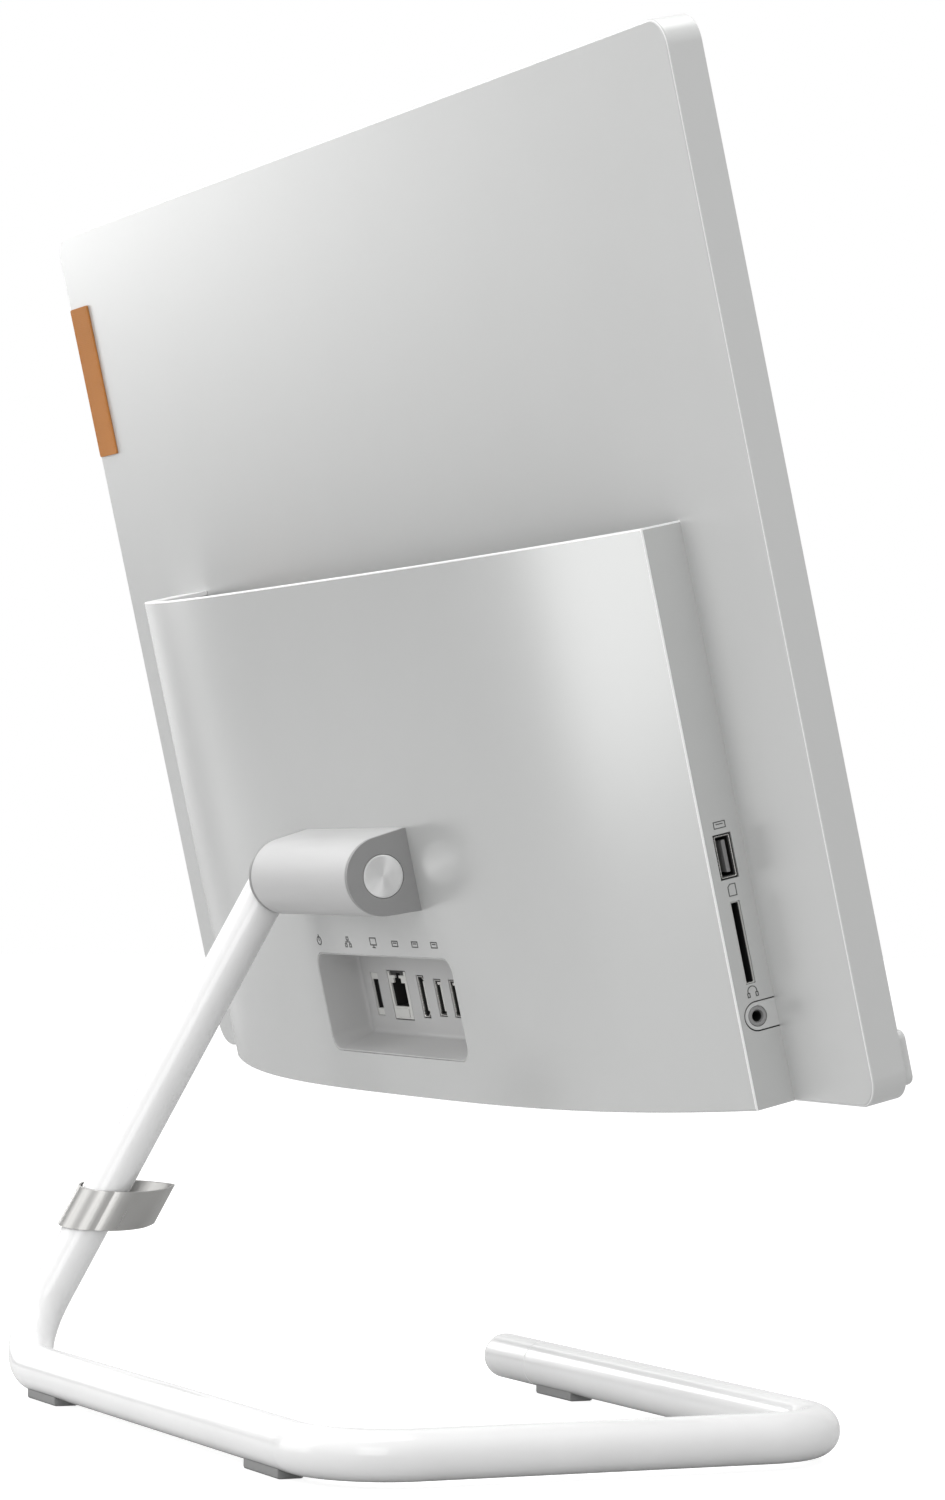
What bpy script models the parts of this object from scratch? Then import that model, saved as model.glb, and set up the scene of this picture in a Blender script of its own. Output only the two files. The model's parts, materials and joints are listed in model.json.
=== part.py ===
"""All in one desktop computer: a thin display with a bulged electronics housing, held by a
friction hinge on one bent tube that forms both the leg and the open base.

Units are metres, +Z is up, the screen faces -Y and the floor is z = 0.
Display pieces are drawn in display coordinates: x across, y rearward from the display's
back face, z up from its lower edge. They hang from an empty on the tilt hinge's axis.
"""
import math

import bmesh
import bpy
from mathutils import Matrix, Vector

MM = 0.001
GAP = 0.3 * MM                      # clearance between neighbouring pieces

# display slab
WIDTH = 541 * MM
HEIGHT = 340 * MM
SLAB = 12.5 * MM                    # front to back
CORNER = 9.5 * MM
WALL = 2.0 * MM
CHAMFER = 0.8 * MM

# picture area and chin
PICTURE_W = 527 * MM
PICTURE_H = 296.5 * MM
PICTURE_BOTTOM = 34 * MM
BEZEL_BOTTOM = 27 * MM
CHIN_BAR_LENGTH = 536 * MM
CHIN_BAR_LOW = 3.8 * MM
CHIN_BAR_HIGH = 21.4 * MM
CHIN_BAR_PROUD = 4.0 * MM

# electronics housing
HOUSING_HALF = 219 * MM
HOUSING_TOP = 188 * MM
HOUSING_EDGE = 14 * MM              # depth behind the slab at both ends
HOUSING_MID = 37.5 * MM             # depth at the middle
HOUSING_POWER = 3.1                 # how square the bulge is
SHELL = 2.0 * MM
TROUGH = 5 * MM                     # vent trough below the housing's upper rim
SHELF_START = 185 * MM              # the rim is filled in from here to the left end

# port recess
RECESS_HALF = 59.5 * MM
RECESS_LOW = 15 * MM
RECESS_HIGH = 52 * MM
RECESS_CORNER = 6 * MM
RECESS_FLOOR = 22 * MM              # depth coordinate of the wall that holds the ports
TRAY_WALL = 1.5 * MM
TRAY_DRAFT = 3 * MM

# sockets
PORT_Z = 33 * MM
LAN_X = 24.5 * MM
LAN_HALF = 8 * MM
LAN_TALL = 8.9 * MM                 # half of its height
SIDE_USB = (7.3 * MM, 81.3 * MM, 6.2 * MM, 14.2 * MM)     # depth, height, across, tall
CARD_SLOT = (7.3 * MM, 53.4 * MM, 3.8 * MM, 27 * MM)
JACK_AT = (7.2 * MM, 29.5 * MM)     # depth, height
JACK_PANEL_HALF = 4.75 * MM

# camera, power key and blower
CAMERA_Z = HEIGHT - 5.1 * MM
SHUTTER_X = 9 * MM                  # open; it slides over the lens to cover it
SHUTTER_HALF = (5 * MM, 2.1 * MM)
BUTTON_X = 215 * MM
FAN_AT = (112 * MM, 132 * MM)       # across, height

# tilt hinge
TILT = math.radians(13.4)
HINGE_UP = 83.7 * MM                # axis above the display's lower edge
HINGE_BACK = 49 * MM                # axis behind the display's back face
HINGE_HEIGHT = 184 * MM             # axis above the floor
HINGE_Y = -10.47 * MM               # keeps the whole object centred on the origin
BLOCK_HALF = 45 * MM
BLOCK_BACK = 38 * MM
BLOCK_FLAT = 14.75 * MM             # half of its height where it meets the housing
BLOCK_RADIUS = 13.9 * MM            # round part, about the hinge axis
END_PLATE = 2 * MM
SHAFT_RADIUS = 4 * MM
CAP_RADIUS = 7.6 * MM
SCREW_SPOTS = [(x * MM, z * MM) for x in (-32, 12) for z in (74, 93.4)]

# stand
TUBE_RADIUS = 8 * MM
TUBE_WALL = 1.5 * MM
BAR_HEIGHT = 10 * MM
LEG_X = 53.5 * MM
LEG_OVERRUN = 5.5 * MM              # tube above the hinge axis
LEG_SLOPE = math.radians(29.5)
SIDE_X = -236 * MM
BAR_FRONT = -77.5 * MM              # from the hinge axis
BAR_END = -17 * MM
END_CAP_TIP = 21 * MM
BEND_RADIUS = 28 * MM
FOOT_LENGTH = 28 * MM
FOOT_WIDTH = 9 * MM
CLIP_LOW = 57.8 * MM
CLIP_HIGH = 71.6 * MM
CLIP_SLANT = 0.16                   # its upper and lower edges rise towards +X

AXIS = Vector((0, HINGE_Y, HINGE_HEIGHT))
FRONT_LINE = HINGE_Y + BAR_FRONT
REAR_LINE = HINGE_Y + (HINGE_HEIGHT - BAR_HEIGHT) * math.tan(LEG_SLOPE)


# ---------------------------------------------------------------- scene helpers

def clear_scene():
    for item in list(bpy.data.objects):
        bpy.data.objects.remove(item, do_unlink=True)


def material(name, colour, roughness, metallic=0.0):
    made = bpy.data.materials.new(name)
    made.use_nodes = True
    shader = made.node_tree.nodes["Principled BSDF"]
    shader.inputs["Base Color"].default_value = (*colour, 1)
    shader.inputs["Roughness"].default_value = roughness
    shader.inputs["Metallic"].default_value = metallic
    return made


def empty(name, location, rotation=(0, 0, 0)):
    made = bpy.data.objects.new(name, None)
    made.location = location
    made.rotation_euler = rotation
    bpy.context.collection.objects.link(made)
    return made


def add_node(name, shape, look, parent=None, location=(0, 0, 0), smooth=False):
    """Turn a bmesh into a named object. Each node gets a material of its own."""
    bmesh.ops.recalc_face_normals(shape, faces=shape.faces)
    mesh = bpy.data.meshes.new(name)
    shape.to_mesh(mesh)
    shape.free()
    made = bpy.data.objects.new(name, mesh)
    made.parent = parent
    made.location = location
    bpy.context.collection.objects.link(made)
    colour, roughness, metallic = look
    mesh.materials.append(material(name, colour, roughness, metallic))
    for face in mesh.polygons:
        face.use_smooth = smooth
    return made


def boolean(target, cutter, operation="DIFFERENCE"):
    """Combine target with cutter, then hide the cutter."""
    step = target.modifiers.new(operation.title(), "BOOLEAN")
    step.operation = operation
    step.solver = "EXACT"
    step.object = cutter
    cutter.hide_render = True
    cutter.display_type = "WIRE"
    return step


def apply_and_drop(target, cutters):
    """Bake the modifiers into the mesh, so that the cutters can go."""
    bpy.context.view_layer.update()
    graph = bpy.context.evaluated_depsgraph_get()
    mesh = bpy.data.meshes.new_from_object(target.evaluated_get(graph))
    target.modifiers.clear()
    target.data = mesh
    for cutter in cutters:
        bpy.data.objects.remove(cutter, do_unlink=True)


def cut(target, shapes, operation="DIFFERENCE"):
    """Cut a list of bmesh shapes from target, in target's own coordinates."""
    cutters = []
    for index, shape in enumerate(shapes):
        name = f"cutter_{target.name}_{index}"
        cutter = add_node(name, shape, BLACK, target.parent, target.location)
        boolean(target, cutter, operation)
        cutters.append(cutter)
    apply_and_drop(target, cutters)


def bevel(target, width, segments=1, angle=40):
    step = target.modifiers.new("Bevel", "BEVEL")
    step.width = width
    step.segments = segments
    step.limit_method = "ANGLE"
    step.angle_limit = math.radians(angle)
    step.harden_normals = False
    return step


# ---------------------------------------------------------------- outlines and solids

def rounded_rect(low, high, radius, steps=5):
    """Points of a rounded rectangle from corner low to corner high, counter-clockwise."""
    points = []
    corners = ((high[0] - radius, high[1] - radius, 0), (low[0] + radius, high[1] - radius, 90),
               (low[0] + radius, low[1] + radius, 180), (high[0] - radius, low[1] + radius, 270))
    for x, z, start in corners:
        for step in range(steps + 1):
            angle = math.radians(start + 90 * step / steps)
            points.append((x + radius * math.cos(angle), z + radius * math.sin(angle)))
    return points


def circle(centre, radius, steps=24):
    turns = [2 * math.pi * step / steps for step in range(steps)]
    return [(centre[0] + radius * math.cos(a), centre[1] + radius * math.sin(a)) for a in turns]


def loft(rings):
    """Closed solid through rings that have equal point counts. Each ring is 3-D points."""
    shape = bmesh.new()
    rows = [[shape.verts.new(point) for point in ring] for ring in rings]
    for near, far in zip(rows, rows[1:]):
        count = len(near)
        for index in range(count):
            after = (index + 1) % count
            shape.faces.new((near[index], near[after], far[after], far[index]))
    shape.faces.new(rows[0])
    shape.faces.new(list(reversed(rows[-1])))
    return shape


def closed_loft(rings):
    """Ring-shaped solid: the last ring joins the first, so it has no end faces."""
    shape = bmesh.new()
    rows = [[shape.verts.new(point) for point in ring] for ring in rings]
    for near, far in zip(rows, rows[1:] + rows[:1]):
        count = len(near)
        for index in range(count):
            after = (index + 1) % count
            shape.faces.new((near[index], near[after], far[after], far[index]))
    return shape


def at_y(points, y):
    return [(x, y, z) for x, z in points]


def at_x(points, x):
    return [(x, y, z) for y, z in points]


def at_z(points, z):
    return [(x, y, z) for x, y in points]


def plate(points, y0, y1):
    return loft([at_y(points, y0), at_y(points, y1)])


def box(low, high):
    (x0, y0, z0), (x1, y1, z1) = low, high
    return plate([(x0, z0), (x1, z0), (x1, z1), (x0, z1)], y0, y1)


def disc_y(centre, radius, y0, y1, steps=24):
    return plate(circle(centre, radius, steps), y0, y1)


def disc_x(centre, radius, x0, x1, steps=24):
    points = circle(centre, radius, steps)
    return loft([at_x(points, x0), at_x(points, x1)])


def frame_solid(outer, inner, y0, y1):
    """Flat frame between two outlines with equal point counts."""
    return closed_loft([at_y(outer, y0), at_y(outer, y1), at_y(inner, y1), at_y(inner, y0)])


# ---------------------------------------------------------------- colours

WHITE = ((0.80, 0.80, 0.79), 0.38, 0.0)
SILVER_WHITE = ((0.66, 0.67, 0.66), 0.42, 0.0)
TUBE_WHITE = ((0.88, 0.88, 0.88), 0.16, 0.0)
BLACK = ((0.012, 0.012, 0.013), 0.45, 0.0)
GLASS = ((0.01, 0.01, 0.012), 0.06, 0.0)
DARK_GREY = ((0.21, 0.21, 0.21), 0.5, 0.0)
RUBBER = ((0.30, 0.30, 0.30), 0.85, 0.0)
STEEL = ((0.62, 0.61, 0.59), 0.30, 1.0)
ALUMINIUM = ((0.78, 0.79, 0.79), 0.28, 1.0)
COPPER = ((0.80, 0.42, 0.26), 0.32, 1.0)
BOARD = ((0.02, 0.09, 0.05), 0.55, 0.0)
TAN = ((0.47, 0.20, 0.06), 0.6, 0.0)
CLOTH_GREY = ((0.42, 0.42, 0.42), 0.95, 0.0)


def display_node(name, shape, look, smooth=False):
    """A piece fixed to the display, drawn in display coordinates."""
    return add_node(name, shape, look, TILT_EMPTY, (0, -HINGE_BACK, -HINGE_UP), smooth)


# ---------------------------------------------------------------- display slab

def slab_outline(inset):
    low = (-WIDTH / 2 + inset, inset)
    high = (WIDTH / 2 - inset, HEIGHT - inset)
    return rounded_rect(low, high, CORNER - min(inset, CORNER - MM))


def make_rear_cover():
    """Back shell of the display: a tray with a bright chamfer round its back face."""
    rings = [at_y(slab_outline(0.3 * MM), -SLAB), at_y(slab_outline(0), -SLAB + 0.3 * MM),
             at_y(slab_outline(0), -CHAMFER), at_y(slab_outline(CHAMFER), 0)]
    cover = display_node("rear_cover", loft(rings), WHITE)
    window = rounded_rect((-203 * MM, 12 * MM), (203 * MM, 178 * MM), 6 * MM, 2)
    button_hole = box((BUTTON_X - 7.3 * MM, -8.3 * MM, -MM), (BUTTON_X + 7.3 * MM, -3.7 * MM, 4 * MM))
    cut(cover, [plate(slab_outline(WALL), -SLAB - MM, -WALL), plate(window, -4 * MM, MM),
                button_hole])
    return cover


def make_front():
    """Bezel, chin panel, screen stack and the sheet-metal frame behind it."""
    inside = WALL + GAP
    low, high = (-WIDTH / 2 + inside, BEZEL_BOTTOM), (WIDTH / 2 - inside, HEIGHT - inside)
    outer = rounded_rect(low, high, 7.5 * MM, 3)
    inner = rounded_rect((-PICTURE_W / 2, PICTURE_BOTTOM),
                         (PICTURE_W / 2, PICTURE_BOTTOM + PICTURE_H), MM, 3)
    bezel = display_node("front_bezel", frame_solid(outer, inner, -12.3 * MM, -10.9 * MM), BLACK)
    camera_hole = disc_y((0, CAMERA_Z), 2.2 * MM, -13 * MM, -10 * MM, 16)
    cut(bezel, [camera_hole])

    chin_low = (-WIDTH / 2 + inside, inside)
    chin_high = (WIDTH / 2 - inside, BEZEL_BOTTOM - GAP)
    chin = plate(rounded_rect(chin_low, chin_high, 7.5 * MM, 3), -12.3 * MM, -10.9 * MM)
    chin_panel = display_node("chin_panel", chin, WHITE)
    speaker_holes = [box((side * 200 * MM - 36 * MM, -14 * MM, 8 * MM),
                         (side * 200 * MM + 36 * MM, -9 * MM, 17 * MM)) for side in (-1, 1)]
    cut(chin_panel, speaker_holes)

    glass_low = (-PICTURE_W / 2 - 2 * MM, PICTURE_BOTTOM - 2 * MM)
    glass_high = (PICTURE_W / 2 + 2 * MM, PICTURE_BOTTOM + PICTURE_H + 2 * MM)
    glass = plate(rounded_rect(glass_low, glass_high, MM, 1), -10.6 * MM, -9.6 * MM)
    display_node("screen_glass", glass, GLASS)
    backlight = plate(rounded_rect(glass_low, glass_high, MM, 1), -9.3 * MM, -4.6 * MM)
    tray = display_node("backlight_tray", backlight, ALUMINIUM)
    cut(tray, [box((-240 * MM, -5.6 * MM, 60 * MM), (240 * MM, -4 * MM, 300 * MM))])


def make_chin_bar():
    """Raised bar along the foot of the screen, with a cloth strip over the speakers."""
    half = CHIN_BAR_LENGTH / 2
    radius = 3 * MM
    front = -SLAB - CHIN_BAR_PROUD

    def outline(inset):
        return rounded_rect((-half + inset, CHIN_BAR_LOW + inset),
                            (half - inset, CHIN_BAR_HIGH - inset), radius, 3)

    rings = [at_y(outline(0), -12.6 * MM), at_y(outline(0), front + 1.2 * MM),
             at_y(outline(0.4 * MM), front + 0.4 * MM), at_y(outline(1.2 * MM), front)]
    bar = display_node("chin_bar", loft(rings), WHITE)
    strip_low = (-half + 8 * MM, CHIN_BAR_LOW + 4 * MM)
    strip_high = (half - 8 * MM, CHIN_BAR_HIGH - 4 * MM)
    groove = plate(rounded_rect(strip_low, strip_high, 2 * MM, 3), front - MM, front + 1.6 * MM)
    passages = [box((side * 200 * MM - 34 * MM, -15.5 * MM, 9.5 * MM),
                    (side * 200 * MM + 34 * MM, -11 * MM, 15.5 * MM)) for side in (-1, 1)]
    cut(bar, [groove, *passages])
    cloth_low = (strip_low[0] + GAP, strip_low[1] + GAP)
    cloth_high = (strip_high[0] - GAP, strip_high[1] - GAP)
    cloth = plate(rounded_rect(cloth_low, cloth_high, 1.7 * MM, 3), front + 0.2 * MM,
                  front + 1.3 * MM)
    display_node("speaker_cloth", cloth, CLOTH_GREY)


def make_chassis():
    """Sheet-metal frame that joins the screen, the boards and the hinge bracket."""
    low, high = (-250 * MM, 36 * MM), (250 * MM, 322 * MM)
    sheet = plate(rounded_rect(low, high, 8 * MM, 2), -4.2 * MM, -3.2 * MM)
    chassis = display_node("chassis_plate", sheet, STEEL)
    openings = []
    for column in range(4):
        left = (-232 + column * 118) * MM
        hole = rounded_rect((left, 205 * MM), (left + 110 * MM, 310 * MM), 8 * MM, 2)
        openings.append(plate(hole, -6 * MM, MM))
    cut(chassis, openings)


def make_speakers():
    for side, name in ((-1, "speaker_left"), (1, "speaker_right")):
        centre = side * 200 * MM
        low = (centre - 42 * MM, 4.5 * MM)
        high = (centre + 42 * MM, 25 * MM)
        shape = plate(rounded_rect(low, high, 2 * MM, 2), -10.5 * MM, -3.2 * MM)
        speaker = display_node(name, shape, BLACK)
        cone = [disc_y((centre + offset * MM, 12.5 * MM), 4.4 * MM, -12 * MM, -9.4 * MM, 16)
                for offset in (-22, -11, 0, 11, 22)]
        cut(speaker, cone)


# ---------------------------------------------------------------- camera and button

def make_webcam():
    """Camera board, its lens barrel, and the sliding privacy shutter on the top edge."""
    board_low = (-30 * MM, -8.0 * MM, CAMERA_Z - 1.3 * MM)
    board_high = (30 * MM, -6.6 * MM, CAMERA_Z + 2.6 * MM)
    display_node("webcam_board", box(board_low, board_high), BOARD)
    rings = []
    for radius, y in ((1.9, -8.3), (1.9, -10.7), (1.9, -12.1), (1.5, -12.2)):
        rings.append(at_y(circle((0, CAMERA_Z), radius * MM, 16), y * MM))
    rings.append(at_y(circle((0, CAMERA_Z), 1.2 * MM, 16), -11.6 * MM))
    display_node("webcam_lens", loft(rings), GLASS)
    rings = []
    for inset, y in ((0, -0.7), (0, -1.1), (0.3, -1.4)):
        half = (SHUTTER_HALF[0] - inset * MM, SHUTTER_HALF[1] - inset * MM)
        rings.append(at_y(rounded_rect((-half[0], -half[1]), half, MM, 2), y * MM + 0.4 * MM))
    place = (SHUTTER_X, -SLAB - HINGE_BACK, CAMERA_Z - HINGE_UP)
    shutter = add_node("webcam_shutter", loft(rings), BLACK, TILT_EMPTY, place)
    ridges = [box((x * MM, -2 * MM, -1.4 * MM), ((x + 0.5) * MM, -0.7 * MM, 1.4 * MM)) for x in (1, 2, 3)]
    cut(shutter, ridges)


def make_power_button():
    """Pill-shaped key in the display's lower edge, pushed upwards against its spring."""
    def outline(inset):
        return rounded_rect((-7 * MM + inset, -2 * MM + inset), (7 * MM - inset, 2 * MM - inset),
                            2 * MM - inset - 0.01 * MM, 4)

    rings = [at_z(outline(0.4 * MM), -0.8 * MM), at_z(outline(0), -0.4 * MM),
             at_z(outline(0), 2.6 * MM)]
    place = (BUTTON_X, -6 * MM - HINGE_BACK, -HINGE_UP)
    add_node("power_button", loft(rings), ALUMINIUM, TILT_EMPTY, place)


# ---------------------------------------------------------------- housing

def bulge(x):
    """Depth of the housing's outer face behind the slab, at x across."""
    share = min(1.0, abs(x) / HOUSING_HALF)
    return HOUSING_EDGE + (HOUSING_MID - HOUSING_EDGE) * (1 - share ** HOUSING_POWER)


def bulge_profile(inset, front, steps=36):
    """Closed (x, y) outline of the housing, seen from above, shrunk by inset."""
    half = HOUSING_HALF - inset
    points = [(-half, front)]
    for step in range(steps + 1):
        turn = math.pi * (step / steps - 0.5)
        x = half * math.sin(turn)
        points.append((x, bulge(x / half * HOUSING_HALF) - inset))
    points.append((half, front))
    return points


def housing_holes():
    """Cutters for the side ports, the port recess and the hinge screws."""
    recess = rounded_rect((-RECESS_HALF, RECESS_LOW), (RECESS_HALF, RECESS_HIGH), RECESS_CORNER)
    holes = [plate(recess, 20 * MM, 50 * MM)]
    side = -HOUSING_HALF
    for y, z, across, tall in (SIDE_USB, CARD_SLOT):
        low = (side - MM, y - across / 2, z - tall / 2)
        high = (side + 4 * MM, y + across / 2, z + tall / 2)
        holes.append(box(low, high))
    panel = jack_panel_outline(0)
    holes.append(loft([at_x(panel, side - MM), at_x(panel, side + 4 * MM)]))
    for x, z in SCREW_SPOTS:
        holes.append(disc_y((x, z), 2.3 * MM, 30 * MM, 45 * MM, 12))
    return holes


def make_rear_housing():
    """Curved electronics cover, open towards the display and along its top vent."""
    outer = bulge_profile(0, GAP)
    shape = loft([at_z(outer, 0.2 * MM), at_z(outer, HOUSING_TOP)])
    housing = display_node("rear_housing", shape, SILVER_WHITE)
    inner = bulge_profile(SHELL, -2 * MM)
    cavity = loft([at_z(inner, 2.2 * MM), at_z(inner, HOUSING_TOP + 5 * MM)])
    cut(housing, [cavity])
    shelf_profile = [point for point in bulge_profile(SHELL - 0.2 * MM, GAP) if point[0] > SHELF_START]
    shelf_profile.insert(0, (SHELF_START, bulge(SHELF_START) - SHELL + 0.2 * MM))
    shelf_profile.append((SHELF_START, GAP))
    shelf = loft([at_z(shelf_profile, HOUSING_TOP - 2 * MM), at_z(shelf_profile, HOUSING_TOP - 0.3 * MM)])
    cut(housing, [shelf], "UNION")
    cut(housing, housing_holes())
    bevel(housing, 0.35 * MM, 1, 50)
    return housing


def make_vents():
    """Slotted strips: hot air leaves at the top, cool air enters through the bottom."""
    level = HOUSING_TOP - TROUGH
    points = []
    half = HOUSING_HALF - SHELL - GAP
    for step in range(25):
        turn = math.pi * (step / 24 - 0.5)
        x = half * math.sin(turn)
        points.append((x, bulge(x / half * HOUSING_HALF) - SHELL - GAP))
    outline = [(-half, 0.6 * MM), *points, (half, 0.6 * MM)]
    strip = loft([at_z(outline, level - 1.5 * MM), at_z(outline, level)])
    grille = display_node("top_vent_grille", strip, DARK_GREY)
    slots = []
    for column in range(30):
        x = (-174 + 12 * column) * MM
        depth = bulge(abs(x) + 4 * MM) - 6 * MM
        slots.append(box((x - 3.5 * MM, 4 * MM, level - 4 * MM), (x + 3.5 * MM, depth, level + MM)))
    merged = bmesh.new()
    for slot in slots:
        mesh = bpy.data.meshes.new("slot")
        slot.to_mesh(mesh)
        slot.free()
        merged.from_mesh(mesh)
        bpy.data.meshes.remove(mesh)
    cut(grille, [merged])


# ---------------------------------------------------------------- ports

def jack_panel_outline(inset):
    """Slot that is round towards the rear and open towards the display, as (y, z)."""
    y, z = JACK_AT
    radius = JACK_PANEL_HALF - inset
    points = [(-MM + inset, z - radius)]
    for step in range(13):
        angle = math.radians(-90 + 15 * step)
        points.append((y + radius * math.cos(angle), z + radius * math.sin(angle)))
    points.append((-MM + inset, z + radius))
    return points


def socket(outline_points, centre, depth, wall, tongue=None):
    """Tube-shaped connector along -Y with a closed back, and a contact tongue inside."""
    def ring(inset, y):
        points = [(centre[0] + x - math.copysign(inset, x), centre[2] + z - math.copysign(inset, z))
                  for x, z in outline_points]
        return at_y(points, centre[1] + y)

    rings = [ring(0, -depth), ring(0, 0), ring(wall, 0), ring(wall, -depth + 1.5 * MM)]
    shape = loft(rings)
    if tongue:
        across, tall, shift, reach = tongue
        floor = centre[1] - depth + 1.5 * MM
        low = (centre[0] + shift - across / 2, floor - 0.5 * MM, centre[2] - tall / 2)
        high = (centre[0] + shift + across / 2, floor + reach, centre[2] + tall / 2)
        return shape, box(low, high)
    return shape, None


def port_outline(across, tall, cut_low=0.0):
    """Rectangle, with the corners at its lower end trimmed when cut_low isn't zero."""
    x, z = across / 2, tall / 2
    if not cut_low:
        return [(-x, -z), (x, -z), (x, z), (-x, z)]
    return [(-x + cut_low, -z), (x, -z), (x, z), (-x + cut_low, z), (-x, z - cut_low),
            (-x, -z + cut_low)]


REAR_PORTS = {
    # name: x, across, tall, trimmed corner, look, tongue (across, tall, shift, reach)
    "dc_in_jack": (45, 6.0, 16.0, 0, BLACK, (1.6, 11.0, 0.0, 4.5)),
    "hdmi_port": (4, 5.6, 15.2, 1.6, STEEL, (1.2, 11.0, 0.6, 4.5)),
    "usb_port_1": (-10.5, 5.7, 13.2, 0, STEEL, (1.4, 10.6, 0.9, 4.5)),
    "usb_port_2": (-23.5, 5.7, 13.2, 0, STEEL, (1.4, 10.6, 0.9, 4.5)),
    "usb_port_3": (-36.5, 5.7, 13.2, 0, STEEL, (1.4, 10.6, 0.9, 4.5)),
}


def make_rear_ports():
    """Sockets that stand behind the recess wall, with their mouths level with it."""
    face = RECESS_FLOOR - 0.2 * MM
    for name, (x, across, tall, trim, look, tongue) in REAR_PORTS.items():
        outline = port_outline(across * MM, tall * MM, trim * MM)
        scaled = tuple(value * MM for value in tongue)
        shape, tab = socket(outline, (x * MM, face, PORT_Z), 12 * MM, 0.45 * MM, scaled)
        port = display_node(name, shape, look)
        cut(port, [tab], "UNION")
    low = (LAN_X - LAN_HALF, face - 12 * MM, PORT_Z - LAN_TALL)
    high = (LAN_X + LAN_HALF, face, PORT_Z + LAN_TALL)
    lan = display_node("lan_jack", box(low, high), STEEL)
    mouth = []
    for half, bottom, top in ((6, -4.2, 4.6), (3.2, 3, 6.4), (1.6, 5, 8)):
        mouth.append(box((LAN_X - half * MM, face - 9 * MM, PORT_Z + bottom * MM),
                         (LAN_X + half * MM, face + MM, PORT_Z + top * MM)))
    cut(lan, mouth)


def make_io_tray():
    """Liner of the port recess: drafted walls down to the wall that holds the sockets."""
    low, high = (-RECESS_HALF, RECESS_LOW), (RECESS_HALF, RECESS_HIGH)

    def outline(inset, floor_rise=0.0):
        return rounded_rect((low[0] + inset, low[1] + inset + floor_rise),
                            (high[0] - inset, high[1] - inset), RECESS_CORNER - min(inset, 4.5 * MM))

    rim = bulge(RECESS_HALF) - 0.1 * MM
    back = RECESS_FLOOR - TRAY_WALL
    rings = [at_y(outline(GAP + TRAY_DRAFT), back), at_y(outline(GAP), rim),
             at_y(outline(GAP + TRAY_WALL), rim),
             at_y(outline(GAP + TRAY_WALL + TRAY_DRAFT), RECESS_FLOOR)]
    tray = display_node("io_tray", loft(rings), SILVER_WHITE)
    holes = []
    for x, across, tall, _, _, _ in REAR_PORTS.values():
        size = (across * MM / 2 + GAP, tall * MM / 2 + GAP)
        holes.append(box((x * MM - size[0], 15 * MM, PORT_Z - size[1]),
                         (x * MM + size[0], 25 * MM, PORT_Z + size[1])))
    holes.append(box((LAN_X - LAN_HALF - GAP, 15 * MM, PORT_Z - LAN_TALL - GAP),
                     (LAN_X + LAN_HALF + GAP, 25 * MM, PORT_Z + LAN_TALL + GAP)))
    cut(tray, holes)
    return tray


def rotate_socket(shape, centre):
    """Turn a connector that faces +Y so that it faces -X, about its mouth's centre."""
    turn = Matrix.Translation(centre) @ Matrix.Rotation(math.radians(90), 4, "Z")
    bmesh.ops.transform(shape, matrix=turn, verts=shape.verts)
    return shape


def make_side_ports():
    """USB socket, memory card reader and headset jack in the housing's end wall."""
    wall = -HOUSING_HALF + 0.3 * MM
    y, z, across, tall = SIDE_USB
    outline = port_outline(across - 0.6 * MM, tall - 0.6 * MM)
    shape, tab = socket(outline, (0, 0, 0), 13 * MM, 0.45 * MM, (1.4 * MM, 10.6 * MM, 0.9 * MM, 4.5 * MM))
    port = display_node("side_usb_port", rotate_socket(shape, (wall, y, z)), STEEL)
    cut(port, [rotate_socket(tab, (wall, y, z))], "UNION")

    y, z, across, tall = CARD_SLOT
    outline = port_outline(across - 0.6 * MM, tall - 0.6 * MM)
    shape, _ = socket(outline, (0, 0, 0), 26 * MM, 0.5 * MM)
    display_node("card_reader", rotate_socket(shape, (wall, y, z)), STEEL)

    y, z = JACK_AT
    panel = jack_panel_outline(GAP)
    panel_start = -HOUSING_HALF + 0.1 * MM
    panel = [(max(point[0], GAP + 0.3 * MM), point[1]) for point in panel]
    shape = loft([at_x(panel, panel_start), at_x(panel, panel_start + 2 * MM)])
    insert = display_node("headset_panel", shape, WHITE)
    cut(insert, [disc_x((y, z), 3.5 * MM, -225 * MM, -210 * MM, 20)])
    body = disc_x((y, z), 3.2 * MM, wall - 0.4 * MM, wall + 13 * MM, 20)
    jack = display_node("headset_jack", body, BLACK)
    cut(jack, [disc_x((y, z), 1.8 * MM, wall - 2 * MM, wall + 11 * MM, 16)])


# ---------------------------------------------------------------- electronics

def fingers(low, high, count, axis_width):
    """Comb: a base bar with upright fins, joined as one body."""
    (x0, y0, z0), (x1, y1, z1) = low, high
    pitch = (x1 - x0) / count
    base = (y0, y0 + 1.5 * MM)
    outline = [(x0, base[0]), (x1, base[0]), (x1, base[1])]
    for index in range(count, 0, -1):
        right = x0 + pitch * index - (pitch - axis_width) / 2
        left = right - axis_width
        outline += [(right, base[1]), (right, y1), (left, y1), (left, base[1])]
    outline.append((x0, base[1]))
    return loft([at_z(outline, z0), at_z(outline, z1)])


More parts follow.
